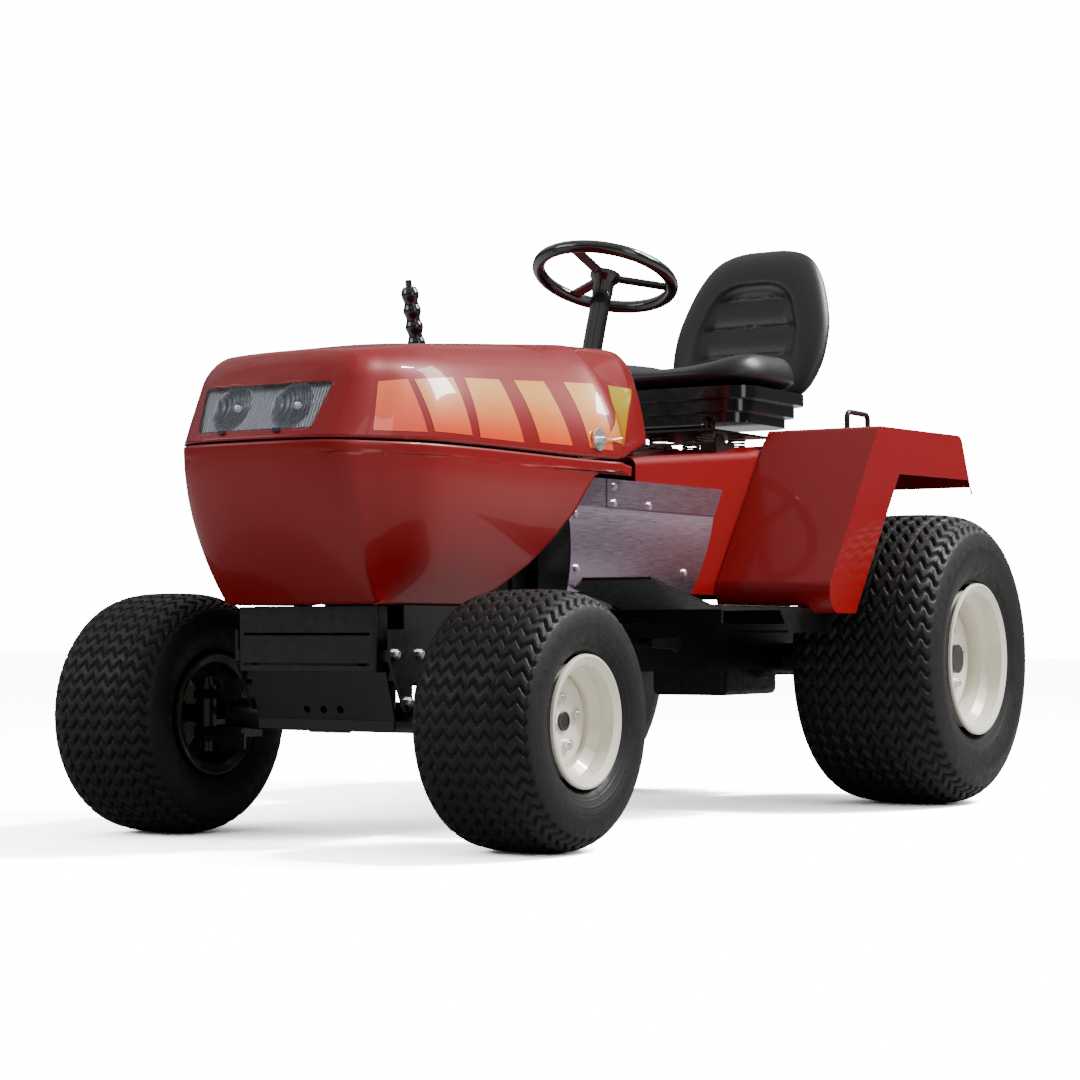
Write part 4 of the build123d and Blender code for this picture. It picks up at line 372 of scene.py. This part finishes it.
def cut_window(piece, outline):
    """Cuts a window through the nose with the outline's (x, z) corners, which run anticlockwise."""
    shape = bmesh.new()
    shape.from_mesh(piece.data)
    pairs = list(zip(outline, [*outline[1:], outline[0]]))
    for (ax, az), (bx, bz) in pairs:
        near = [f for f in shape.faces if f.calc_center_median().y < NOSE_REAR]
        parts = [*near, *{e for f in near for e in f.edges}, *{v for f in near for v in f.verts}]
        across = (bz - az, 0, ax - bx)
        bmesh.ops.bisect_plane(shape, geom=parts, plane_co=(ax, 0, az), plane_no=across, dist=1e-7)
    inside = []
    for f in shape.faces:
        p = f.calc_center_median()
        if p.y < NOSE_REAR and all((bx - ax) * (p.z - az) - (bz - az) * (p.x - ax) > 0
                                   for (ax, az), (bx, bz) in pairs):
            inside.append(f)
    bmesh.ops.delete(shape, geom=inside, context="FACES")
    shape.to_mesh(piece.data)
    shape.free()


def lens_grid(points_half, nudge, grow=0.0):
    """Points on the nose inside the headlight's outline, moved inward by nudge."""
    rows = []
    for v in np.linspace(0, 1, 18):
        z = 0.732 - grow + v * (0.084 + 2 * grow)
        half = 0.124 + v * 0.017 + grow
        wx, wy = wall_point(half_plan[:, 0], half_plan[:, 1], z)
        order = np.argsort(wx[:120])
        xs = np.linspace(-half, half, 60)
        ys = np.interp(abs(xs), wx[:120][order], wy[:120][order])
        rows.append(np.stack([xs, ys + nudge, np.full(60, z)], axis=1))
    return np.array(rows)


rows, columns = hood_rows.shape[:2]
hood_points = hood_rows.reshape(-1, 3)
hood_mesh = add_mesh("hood_skin", hood_points, grid_faces(rows, columns),
                     paint, "hood")
face_outward(hood_mesh, (0, -0.5, 0.72))
LENS_OUTLINE = [(-0.119, 0.7322), (0.119, 0.7322), (0.1245, 0.7365), (0.1405, 0.812), (0.1365, 0.8158),
                (-0.1365, 0.8158), (-0.1405, 0.812), (-0.1245, 0.7365)]
cut_window(hood_mesh, LENS_OUTLINE)
thicken(hood_mesh, 0.003)
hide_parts("hood")

dash_plan = smooth_line([(0.188, 0.0367), (0.152, 0.090), (0.106, 0.150)], 24)
dash_half = body_ribs(dash_plan, seam_height(dash_plan[:, 1]), 64, 0.150)
back = dash_half[-1]
middle = np.array([0.0, 0.0, 0.86])
caps = []
for inset, depth in ((0.004, 0.0045), (0.012, 0.007), (0.03, 0.0077), (0.08, 0.0077)):
    ring = back.copy()
    ring[:, 0] *= 1 - inset / 0.106
    ring[:, 2] = back[:, 2] - inset * np.clip((back[:, 2] - 0.80) / 0.17, 0, 1)
    ring[:, 1] += depth
    caps.append(ring)
centre_ring = back.copy()
centre_ring[:, 0], centre_ring[:, 1] = 0.0, back[:, 1] + 0.0077
caps.append(centre_ring)
dash_half = np.vstack([dash_half, np.array(caps)])
for side, label in ((1, "left"), (-1, "right")):
    shape = dash_half * np.array([side, 1, 1])
    dash_faces = grid_faces(*shape.shape[:2], flip=side < 0)
    dash_mesh = add_mesh(f"dash_skin_{label}", shape.reshape(-1, 3), dash_faces,
                         paint, "chassis")
    thicken(face_outward(dash_mesh, (0, 0.08, 0.8)), 0.003)
    if side > 0:
        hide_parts("dash_tower")

# lower cowl: rows down from the seam, each ending where the rear edge is
REAR_EDGE = [(-0.653, 0.431), (-0.60, 0.436), (-0.535, 0.470), (-0.48, 0.51), (-0.435, 0.56), (-0.395, 0.61),
             (-0.370, 0.655), (-0.352, 0.680), (-0.33, 0.690), (-0.155, 0.692), (-0.150, 0.7115)]
cowl_rows = []
for z in np.concatenate([np.linspace(0.7115, 0.6925, 5), np.linspace(0.690, 0.431, 56)]):
    edge_y = np.interp(z, [p[1] for p in REAR_EDGE], [p[0] for p in REAR_EDGE])
    wx, wy = wall_point(half_plan[:, 0], half_plan[:, 1], z)
    keep = wy <= edge_y
    line = np.stack([wx[keep], wy[keep]], axis=1)
    nxt = min(keep.sum(), len(wx) - 1)
    share = (edge_y - wy[nxt - 1]) / max(wy[nxt] - wy[nxt - 1], 1e-6)
    line = np.vstack([line, [wx[nxt - 1] + share * (wx[nxt] - wx[nxt - 1]), edge_y]])
    run = np.concatenate([[0], np.cumsum(np.linalg.norm(np.diff(line, axis=0), axis=1))])
    wanted = np.linspace(0, run[-1], 110)
    cowl_rows.append(np.stack([np.interp(wanted, run, line[:, 0]), np.interp(wanted, run, line[:, 1]),
                               np.full(110, z)], axis=1))
cowl_half = np.array(cowl_rows).transpose(1, 0, 2)
cowl_full = mirror_rows(cowl_half)
cowl_mesh = add_mesh("lower_cowl_skin", cowl_full.reshape(-1, 3), grid_faces(*cowl_full.shape[:2], flip=True),
                     paint, "chassis")
thicken(face_outward(cowl_mesh, (0, -0.7, 0.65)), 0.003)
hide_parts("lower_cowl")

# headlight: fluted housing behind a clear cover, with a dark gasket
gasket = lens_grid(hood_half, 0.0012, 0.0035)
add_mesh("headlight_gasket", gasket.reshape(-1, 3), [
    f for f in grid_faces(18, 60) if f[0] // 60 in (0, 16) or f[0] % 60 in (0, 58)],
    rubber, "hood")
cover = lens_grid(hood_half, 0.0)
cover_mesh = add_mesh("headlight_cover", cover.reshape(-1, 3), grid_faces(18, 60),
                      glass, "hood")
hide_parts("headlight_lens")

flute = material("fluted lamp", (0.42, 0.44, 0.48), 0.75, 0.30)
wave = flute.node_tree.nodes.new("ShaderNodeTexWave")
wave.inputs["Scale"].default_value = 55
wave.inputs["Distortion"].default_value = 0.6
wave_bump = flute.node_tree.nodes.new("ShaderNodeBump")
wave_bump.inputs["Strength"].default_value = 0.8
wave_bump.inputs["Distance"].default_value = 0.002
where = flute.node_tree.nodes.new("ShaderNodeTexCoord")
flute.node_tree.links.new(where.outputs["Object"], wave.inputs["Vector"])
flute.node_tree.links.new(wave.outputs["Fac"], wave_bump.inputs["Height"])
flute_shader = flute.node_tree.nodes["Principled BSDF"]
flute.node_tree.links.new(wave_bump.outputs["Normal"], flute_shader.inputs["Normal"])
housing = []
for v in np.linspace(0, 1, 28):
    z = 0.733 + v * 0.082
    half = 0.124 + v * 0.016
    line = []
    for x in np.linspace(-half, half, 96):
        front_y = NOSE_Y + 0.5 * (z - SEAM_Z) + 0.35 * x * x
        depth = 0.016
        for cx in (-0.066, 0.066):
            gap = math.hypot(x - cx, z - 0.774) / 0.040
            if gap < 1:
                depth += 0.048 * math.sqrt(1 - gap * gap)
        line.append((x, front_y + depth, z))
    housing.append(line)
housing = np.array(housing)
housing_mesh = add_mesh("lamp_housing", housing.reshape(-1, 3), grid_faces(28, 96),
                        flute, "hood")
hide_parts("headlight_reflectors")
for cx in (-0.066, 0.066):
    bpy.ops.mesh.primitive_uv_sphere_add(segments=24, ring_count=12, radius=0.009,
                                         location=(cx, -0.985, 0.776))
    bulb = bpy.context.object
    bulb.name = f"bulb_{'left' if cx > 0 else 'right'}"
    bulb.data.materials.append(silver)
    bpy.ops.object.shade_smooth()
    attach(bulb, "hood")

def bar(name, low, high, finish, body, soft=0.001):
    """A block with softened edges."""
    corners = [(x, y, z) for x in (low[0], high[0]) for y in (low[1], high[1]) for z in (low[2], high[2])]
    faces = [(0, 1, 3, 2), (4, 6, 7, 5), (0, 4, 5, 1), (2, 3, 7, 6), (0, 2, 6, 4), (1, 5, 7, 3)]
    piece = add_mesh(name, corners, faces, finish, body, smooth=False)
    edge = piece.modifiers.new("soft edge", "BEVEL")
    edge.width, edge.segments = soft, 3
    return piece


for i in range(6):
    y = -0.155 + i * 0.031
    z = float(top_height(0.05, y))
    bar(f"louvre_rib_{i + 1}", (-0.06, y, z - 0.003), (0.06, y + 0.017, z + 0.0045),
        paint, "hood", 0.002)
for x, label in ((-0.06, "right"), (0.06, "left")):
    bar(f"lens_tab_{label}", (x - 0.006, -1.049, 0.7275), (x + 0.006, -1.039, 0.7345),
        rubber, "hood")

# ------------------------------------------------------------------ stripes on the hood's sides
STRIPES = [  # (y at the top's ends), (y at the foot's ends), (z at the top's ends), (z at the foot's ends)
    ((-0.9330, -0.8793), (-0.9608, -0.8656), (0.8175, 0.825), (0.7300, 0.7310)),
    ((-0.8671, -0.7728), (-0.8505, -0.7515), (0.825, 0.836), (0.733, 0.732)),
    ((-0.7380, -0.6239), (-0.7285, -0.5881), (0.838, 0.845), (0.730, 0.730)),
    ((-0.5720, -0.4621), (-0.5331, -0.4228), (0.848, 0.856), (0.734, 0.735)),
    ((-0.3914, -0.2977), (-0.3678, -0.2977), (0.861, 0.865), (0.735, 0.733)),
    ((-0.1987, -0.0316), (-0.3131, -0.2370), (0.872, 0.880), (0.752, 0.745)),
]


def stripe_finish(name, low, high):
    """Orange at the foot rising to yellow, under the body's clear coat."""
    m = material(name, high, 0.0, 0.35, 1.0, 0.03)
    tree = m.node_tree
    place = tree.nodes.new("ShaderNodeTexCoord")
    split = tree.nodes.new("ShaderNodeSeparateXYZ")
    spread = tree.nodes.new("ShaderNodeMapRange")
    spread.inputs["From Min"].default_value = 0.735
    spread.inputs["From Max"].default_value = 0.84
    ramp = tree.nodes.new("ShaderNodeValToRGB")
    ramp.color_ramp.elements[0].color = (*low, 1)
    ramp.color_ramp.elements[1].color = (*high, 1)
    tree.links.new(place.outputs["Object"], split.inputs["Vector"])
    tree.links.new(split.outputs["Z"], spread.inputs["Value"])
    tree.links.new(spread.outputs["Result"], ramp.inputs["Fac"])
    tree.links.new(ramp.outputs["Color"], tree.nodes["Principled BSDF"].inputs["Base Color"])
    return m


first_stripe = stripe_finish("stripe orange", (0.72, 0.045, 0.0), (0.76, 0.12, 0.0))
stripe = stripe_finish("stripe yellow", (0.74, 0.05, 0.0), (0.72, 0.30, 0.0))
last_stripe = stripe_finish("stripe green yellow", (0.70, 0.16, 0.0), (0.52, 0.36, 0.0))


def wall_x(y, z, push):
    """X of the hood's wall at a place, pushed outward."""
    wx, wy = wall_point(half_plan[:, 0], half_plan[:, 1], z)
    return np.interp(y, wy, wx) + push


for index, (top_y, low_y, top_z, low_z) in enumerate(STRIPES):
    finish = first_stripe if index == 0 else last_stripe if index == 5 else stripe
    for side, label in ((1, "left"), (-1, "right")):
        sheet_rows = []
        for v in np.linspace(0, 1, 16):
            line = []
            for u in np.linspace(0, 1, 24):
                y0 = low_y[0] + v * (top_y[0] - low_y[0])
                y1 = low_y[1] + v * (top_y[1] - low_y[1])
                z0 = low_z[0] + u * (low_z[1] - low_z[0])
                z1 = top_z[0] + u * (top_z[1] - top_z[0])
                if index == 0:
                    y0 += 0.0012 * (1 - u) * (2 * v - 1) ** 10
                y, z = y0 + u * (y1 - y0), z0 + v * (z1 - z0)
                line.append((side * wall_x(y, z, 0.0006), y, z))
            sheet_rows.append(line)
        sheet_rows = np.array(sheet_rows)
        add_mesh(f"stripe_{index + 1}_{label}", sheet_rows.reshape(-1, 3), grid_faces(16, 24, flip=side < 0),
                 finish, "hood")


# ------------------------------------------------------------------ tyres with their tread
TYRE_PROFILE = [(0, 1), (0.3, 0.997), (0.5, 0.99), (0.68, 0.972), (0.8, 0.945), (0.9, 0.90),
                (0.96, 0.85), (1.0, 0.76), (0.985, 0.68), (0.93, 0.60), (0.86, 0.54), (0.80, 0.525)]


def tyre_mesh(name, radius, width, bead, pitches, chevrons, depth, samples):
    """One turf tyre about the X axis at the origin: zigzag rows of lugs between zigzag grooves."""
    profile = [(a * width / 2, b * radius) for a, b in TYRE_PROFILE]
    profile[-2] = (profile[-2][0], bead + 0.004)
    profile[-1] = (profile[-1][0] - 0.004, bead - 0.002)
    half = smooth_line(profile, 92)
    line = np.vstack([(half[::-1] * [-1, 1])[:-1], half])
    tangent = np.gradient(line, axis=0)
    normal = np.stack([-tangent[:, 1], tangent[:, 0]], axis=1)
    normal /= np.linalg.norm(normal, axis=1)[:, None]
    across = np.concatenate([[0], np.cumsum(np.linalg.norm(np.diff(line, axis=0), axis=1))])
    across -= across[-1] / 2
    edge = np.interp(0.945 * width / 2, half[:, 0][:70], across[len(line) // 2:][:70])
    turns = np.arange(pitches * samples) / samples
    s = across[None, :] / edge
    zigzag = np.abs(((s * chevrons / 2 + 0.25) % 1.0) - 0.5) * 2
    phase = (turns[:, None] + 0.62 * zigzag) % 1.0
    from_groove = np.abs(phase - 0.5) * 2  # 1 in the groove's middle line
    groove = np.clip((from_groove - 0.62) / 0.16, 0, 1)
    slit = np.abs((((s * chevrons / 2) + 0.25) % 0.5) - 0.25) * 4
    slits = 0.45 * np.clip((slit - 0.93) / 0.05, 0, 1)
    wiper = np.clip((0.12 - np.abs(((turns[:, None] + 0.62 * zigzag + 0.5) % 1.0) - 0.5)) / 0.06, 0, 1) * 0.22
    cut = np.maximum(np.maximum(groove, slits), wiper)
    cut = cut * np.clip((1.0 - np.abs(s)) / 0.03, 0, 1)
    ring = 0.0009 * (np.abs(np.sin(np.clip((np.abs(across) - edge) / 0.0062, 0, 40) * math.pi)) ** 6)
    ring = ring * ((np.abs(across) - edge > 0.028) & (np.abs(across) - edge < 0.085))
    moved = line[None, :, :] - normal[None, :, :] * (cut * depth)[:, :, None]
    moved = moved + normal[None, :, :] * ring[None, :, None]
    angle = 2 * math.pi * turns / pitches
    x = moved[:, :, 0]
    y = moved[:, :, 1] * np.cos(angle)[:, None]
    z = moved[:, :, 1] * np.sin(angle)[:, None]
    points = np.stack([x, y, z], axis=2)
    data = bpy.data.meshes.new(name)
    faces = grid_faces(len(turns), len(line), wrap=True)
    data.from_pydata(points.reshape(-1, 3).tolist(), [], faces)
    data.polygons.foreach_set("use_smooth", [True] * len(data.polygons))
    data.materials.append(tyre_rubber)
    return data


coarse = 12
front_tyre = tyre_mesh("front_tyre", 0.2285, 0.244, 0.1185, 50, 9, 0.0062, coarse)
rear_tyre = tyre_mesh("rear_tyre", 0.323, 0.3405, 0.1680, 54, 11, 0.0085, coarse)
for side, label in ((1, "left"), (-1, "right")):
    for data, x, y, z, body, node in (
        (front_tyre, 0.407, -0.7653, 0.2285, f"front_wheel_{label}", f"front_tyre_{label}"),
        (rear_tyre, 0.478, 0.7297, 0.323, f"rear_wheel_{label}", f"rear_tyre_{label}"),
    ):
        tyre = bpy.data.objects.new(f"{node}_tread", data)
        scene.collection.objects.link(tyre)
        tyre.location = (side * x, y, z)
        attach(tyre, body)
        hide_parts(node)


# ------------------------------------------------------------------ seat
def rounded_pad(name, outline, face, rear_face, finish, node, body, rings=44):
    """A stuffed piece: polar rings inside an outline, with a face and a back that meet in a rolled edge."""
    count = len(outline)
    centre = outline.mean(axis=0)
    points, faces = [], []
    for shape in (face, rear_face):
        base = len(points)
        for ring in range(rings + 1):
            share = math.sin(ring / rings * math.pi / 2)
            for p in outline:
                q = centre + (p - centre) * share
                points.append(shape(q[0], q[1], share))
        for ring in range(rings):
            for k in range(count):
                a, b = base + ring * count + k, base + ring * count + (k + 1) % count
                c, d = b + count, a + count
                faces.append((a, b, c, d) if shape is face else (a, d, c, b))
    pad = add_mesh(name, points, faces, finish, body)
    weld = pad.modifiers.new("weld", "WELD")
    weld.merge_threshold = 0.0002
    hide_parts(node)
    return pad


def closed_smooth(points, count):
    """A smooth closed loop through the points."""
    around = smooth_line([*points[-2:], *points, *points[:3]], 4000)
    start = np.argmin(np.linalg.norm(around[:1500] - np.array(points[0]), axis=1))
    end = 2200 + np.argmin(np.linalg.norm(around[2200:] - np.array(points[0]), axis=1))
    loop = around[start:end]
    return loop[np.linspace(0, len(loop) - 1, count, endpoint=False).astype(int)]


back_low, back_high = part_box("seat_back")
cush_low, cush_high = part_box("seat_cushion")

BACK_OUTLINE = [(0.0, 0.0), (0.10, 0.004), (0.165, 0.035), (0.197, 0.10), (0.204, 0.18), (0.194, 0.25),
                (0.165, 0.335), (0.125, 0.392), (0.07, 0.416), (0.0, 0.42)]
back_outline = np.array(closed_smooth([*BACK_OUTLINE, *[(-x, h) for x, h in BACK_OUTLINE[-2:0:-1]]], 160))
BACK_TILT = math.radians(19.2)


def on_back(x, h, out):
    """A point on the backrest: h up its slope, out toward the driver."""
    y = 0.800 + h * math.sin(BACK_TILT) - out * math.cos(BACK_TILT) + 0.022
    z = 0.915 + h * math.cos(BACK_TILT) - out * math.sin(BACK_TILT)
    return (x, y, z)


def back_face(x, h, share):
    edge = max(0.0, 1 - share ** 5) ** 0.5
    centre = 1 / (1 + math.exp((share - 0.60) * 30))
    rolls = 0.0
    if 0.08 < h < 0.35:
        rolls = 0.011 * abs(math.sin((h - 0.065) / 0.076 * math.pi)) ** 0.5
    out = 0.045 * edge - 0.030 * centre + rolls * centre
    seam = 0.006 * math.exp(-((share - 0.615) / 0.018) ** 2)
    return on_back(x, h, out - seam)


def back_rear(x, h, share):
    edge = max(0.0, 1 - share ** 4) ** 0.5
    return on_back(x, h, -0.036 * edge)


rounded_pad("backrest", back_outline, back_face, back_rear, vinyl, "seat_back", "seat")

c_mid = (cush_low[1] + cush_high[1]) / 2
c_half = (cush_high[1] - cush_low[1]) / 2
turn = np.linspace(0, 2 * math.pi, 160, endpoint=False)
cush_outline = np.stack([
    0.221 * np.sign(np.cos(turn)) * np.abs(np.cos(turn)) ** 0.55,
    c_mid + c_half * np.sign(np.sin(turn)) * np.abs(np.sin(turn)) ** 0.55], axis=1)


def cushion_top(x, y, share):
    edge = max(0.0, 1 - share ** 7) ** 0.5
    v = (y - c_mid) / c_half
    side = min(1.0, abs(x) / 0.2)
    crest = 0.985 + 0.040 * side ** 2.2 + 0.012 * max(0.0, v) - 0.010 * max(0.0, -v) ** 3
    centre = 1 / (1 + math.exp((abs(x) - 0.128) * 220)) / (1 + math.exp((abs(v) - 0.72) * 28))
    roll = 0.005 * abs(math.sin((v + 0.72) / 0.48 * math.pi)) ** 0.5
    seam = 0.005 * math.exp(-((abs(x) - 0.132) / 0.005) ** 2) * (abs(v) < 0.72)
    return (x, y, 0.958 + (crest - 0.958 - 0.006 * centre + roll * centre - seam) * edge)


def cushion_under(x, y, share):
    edge = max(0.0, 1 - share ** 7) ** 0.5
    return (x, y, 0.958 - 0.022 * edge)


rounded_pad("cushion_pad", cush_outline, cushion_top, cushion_under, vinyl, "seat_cushion", "seat")


def coil(name, centre, low, high, radius, wire, turns, body):
    """A helical compression spring as a tube mesh."""
    steps, ring = int(turns * 28), 10
    points = []
    for i in range(steps + 1):
        a = 2 * math.pi * turns * i / steps
        out = Vector((math.cos(a), math.sin(a), 0))
        rise = low + wire + (high - low - 2 * wire) * i / steps
        middle = Vector((centre[0], centre[1], rise)) + out * radius
        for k in range(ring):
            b = 2 * math.pi * k / ring
            points.append(middle + out * wire * math.cos(b) + Vector((0, 0, wire * math.sin(b))))
    faces = []
    for i in range(steps):
        for k in range(ring):
            a, b = i * ring + k, i * ring + (k + 1) % ring
            faces.append((a, b, b + ring, a + ring))
    return add_mesh(name, points, faces, steel, body)


# ribbed grip on the lift lever
LEVER_LEAN = math.radians(13.6)
LEVER_FOOT = Vector((-0.3, 0.0527, 0.36))
GRIP_START, GRIP_LENGTH = 0.640, 0.139
GRIP_WAIST, GRIP_RIB = 0.0150, 0.0042
GRIP_STEPS, GRIP_RING = 120, 28
grip_axis = Vector((0, -math.sin(LEVER_LEAN), math.cos(LEVER_LEAN)))
grip_side = Vector((1, 0, 0))
grip_front = grip_axis.cross(grip_side)
grip_points = []
for i in range(GRIP_STEPS + 1):
    share = i / GRIP_STEPS
    radius = GRIP_WAIST + GRIP_RIB * math.sin(share * 4 * math.pi) ** 2
    radius *= 1 - 0.5 * max(0.0, (share - 0.97) / 0.03) ** 2
    middle = LEVER_FOOT + grip_axis * (GRIP_START + GRIP_LENGTH * share)
    for k in range(GRIP_RING):
        a = 2 * math.pi * k / GRIP_RING
        grip_points.append(middle + (grip_side * math.cos(a) + grip_front * math.sin(a)) * radius)
grip_faces = [(i * GRIP_RING + k, i * GRIP_RING + (k + 1) % GRIP_RING,
               (i + 1) * GRIP_RING + (k + 1) % GRIP_RING, (i + 1) * GRIP_RING + k)
              for i in range(GRIP_STEPS) for k in range(GRIP_RING)]
grip_mesh = add_mesh("ribbed_grip", grip_points, grip_faces, gloss, "lift_lever")
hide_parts("lift_grip")

SPRING_RADIUS, SPRING_WIRE, SPRING_TURNS = 0.0195, 0.0022, 4.5
spring_low, spring_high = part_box("seat_springs")
for i, (x, y) in enumerate(((-0.06, 0.5247), (0.06, 0.5247), (-0.06, 0.6847), (0.06, 0.6847))):
    spring = coil(f"seat_spring_{i + 1}", (x, y), spring_low[2], spring_high[2],
                  SPRING_RADIUS, SPRING_WIRE, SPRING_TURNS, "chassis")
    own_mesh(spring)
    if i == 0:
        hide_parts("seat_springs")

# ------------------------------------------------------------------ floor, light, camera
FLOOR_LIT = 0.40  # what the object is lit by
FLOOR_SEEN = 9.0  # the pale floor is lit harder for the camera than for the object
bpy.ops.mesh.primitive_plane_add(size=60, location=(0, 0, 0))
floor = bpy.context.object
floor.name = "floor"
floor_finish = bpy.data.materials.new("floor")
floor_finish.use_nodes = True
tree = floor_finish.node_tree
tree.nodes.remove(tree.nodes["Principled BSDF"])
matt = tree.nodes.new("ShaderNodeBsdfDiffuse")
ray = tree.nodes.new("ShaderNodeLightPath")
seen = tree.nodes.new("ShaderNodeMapRange")
seen.inputs["To Min"].default_value = FLOOR_LIT
seen.inputs["To Max"].default_value = FLOOR_SEEN
tree.links.new(ray.outputs["Is Camera Ray"], seen.inputs["Value"])
tree.links.new(seen.outputs["Result"], matt.inputs["Color"])
tree.links.new(matt.outputs["BSDF"], tree.nodes["Material Output"].inputs["Surface"])
floor.data.materials.append(floor_finish)


def area_light(name, place, target, size, power, colour=(1, 1, 1)):
    data = bpy.data.lights.new(name, "AREA")
    data.shape = "RECTANGLE"
    data.size, data.size_y = size
    data.energy = power
    data.color = colour
    lamp = bpy.data.objects.new(name, data)
    lamp.location = place
    lamp.rotation_euler = (Vector(target) - Vector(place)).to_track_quat("-Z", "Y").to_euler()
    scene.collection.objects.link(lamp)
    return lamp


area_light("key", (3.6, 2.6, 4.6), (0, 0, 0.4), (2.2, 2.2), 520, (1.0, 0.98, 0.95))
area_light("fill", (-3.4, -4.2, 3.0), (0, -0.4, 0.6), (3.5, 2.0), 90)
area_light("side", (5.0, -2.2, 2.2), (0, -0.3, 0.7), (1.8, 2.6), 34)
sun = bpy.data.lights.new("sun", "SUN")
sun.energy = 2.2
sun.angle = math.radians(4)
sun_lamp = bpy.data.objects.new("sun", sun)
sun_lamp.rotation_euler = (Vector((-0.62, -0.42, -1.0))).to_track_quat("-Z", "Y").to_euler()
scene.collection.objects.link(sun_lamp)

SKY_SEEN = 16.0  # the plain white behind the machine, for the camera alone
world = bpy.data.worlds.new("studio")
world.use_nodes = True
tree = world.node_tree
background = tree.nodes["Background"]
place = tree.nodes.new("ShaderNodeTexCoord")
split = tree.nodes.new("ShaderNodeSeparateXYZ")
sky = tree.nodes.new("ShaderNodeValToRGB")
for position, grey in ((0.0, 0.20), (0.49, 0.20), (0.515, 0.07), (0.60, 0.16), (0.72, 0.62), (1.0, 0.95)):
    stop = sky.color_ramp.elements.new(position)
    stop.color = (grey, grey, grey * 1.04, 1)
height = tree.nodes.new("ShaderNodeMapRange")
height.inputs["From Min"].default_value = -1
clutter = tree.nodes.new("ShaderNodeTexNoise")
clutter.inputs["Scale"].default_value = 5.0
clutter.inputs["Detail"].default_value = 6
clutter.inputs["Distortion"].default_value = 1.2
streak = tree.nodes.new("ShaderNodeMapRange")
streak.inputs["From Min"].default_value = 0.40
streak.inputs["From Max"].default_value = 0.62
streak.inputs["To Min"].default_value = 0.55
streak.inputs["To Max"].default_value = 1.25
scaled = tree.nodes.new("ShaderNodeVectorMath")
scaled.operation = "SCALE"
ray = tree.nodes.new("ShaderNodeLightPath")
white = tree.nodes.new("ShaderNodeMix")
white.data_type = "RGBA"
white.inputs["B"].default_value = (SKY_SEEN, SKY_SEEN, SKY_SEEN, 1)
tree.links.new(place.outputs["Generated"], split.inputs["Vector"])
tree.links.new(place.outputs["Generated"], clutter.inputs["Vector"])
tree.links.new(split.outputs["Z"], height.inputs["Value"])
tree.links.new(height.outputs["Result"], sky.inputs["Fac"])
tree.links.new(clutter.outputs["Fac"], streak.inputs["Value"])
tree.links.new(sky.outputs["Color"], scaled.inputs["Vector"])
tree.links.new(streak.outputs["Result"], scaled.inputs["Scale"])
tree.links.new(scaled.outputs["Vector"], white.inputs["A"])
tree.links.new(ray.outputs["Is Camera Ray"], white.inputs["Factor"])
tree.links.new(white.outputs["Result"], background.inputs["Color"])
scene.world = world

camera_data = bpy.data.cameras.new("camera")
camera_data.lens = 81.24
camera_data.sensor_width = 36
camera = bpy.data.objects.new("camera", camera_data)
camera.location = (2.6612, -4.3663, 0.3809)
azimuth, pitch = math.radians(31.864), math.radians(2.180)
ahead = Vector((-math.sin(azimuth) * math.cos(pitch), math.cos(azimuth) * math.cos(pitch), math.sin(pitch)))
camera.rotation_euler = ahead.to_track_quat("-Z", "Y").to_euler()
scene.collection.objects.link(camera)
scene.camera = camera
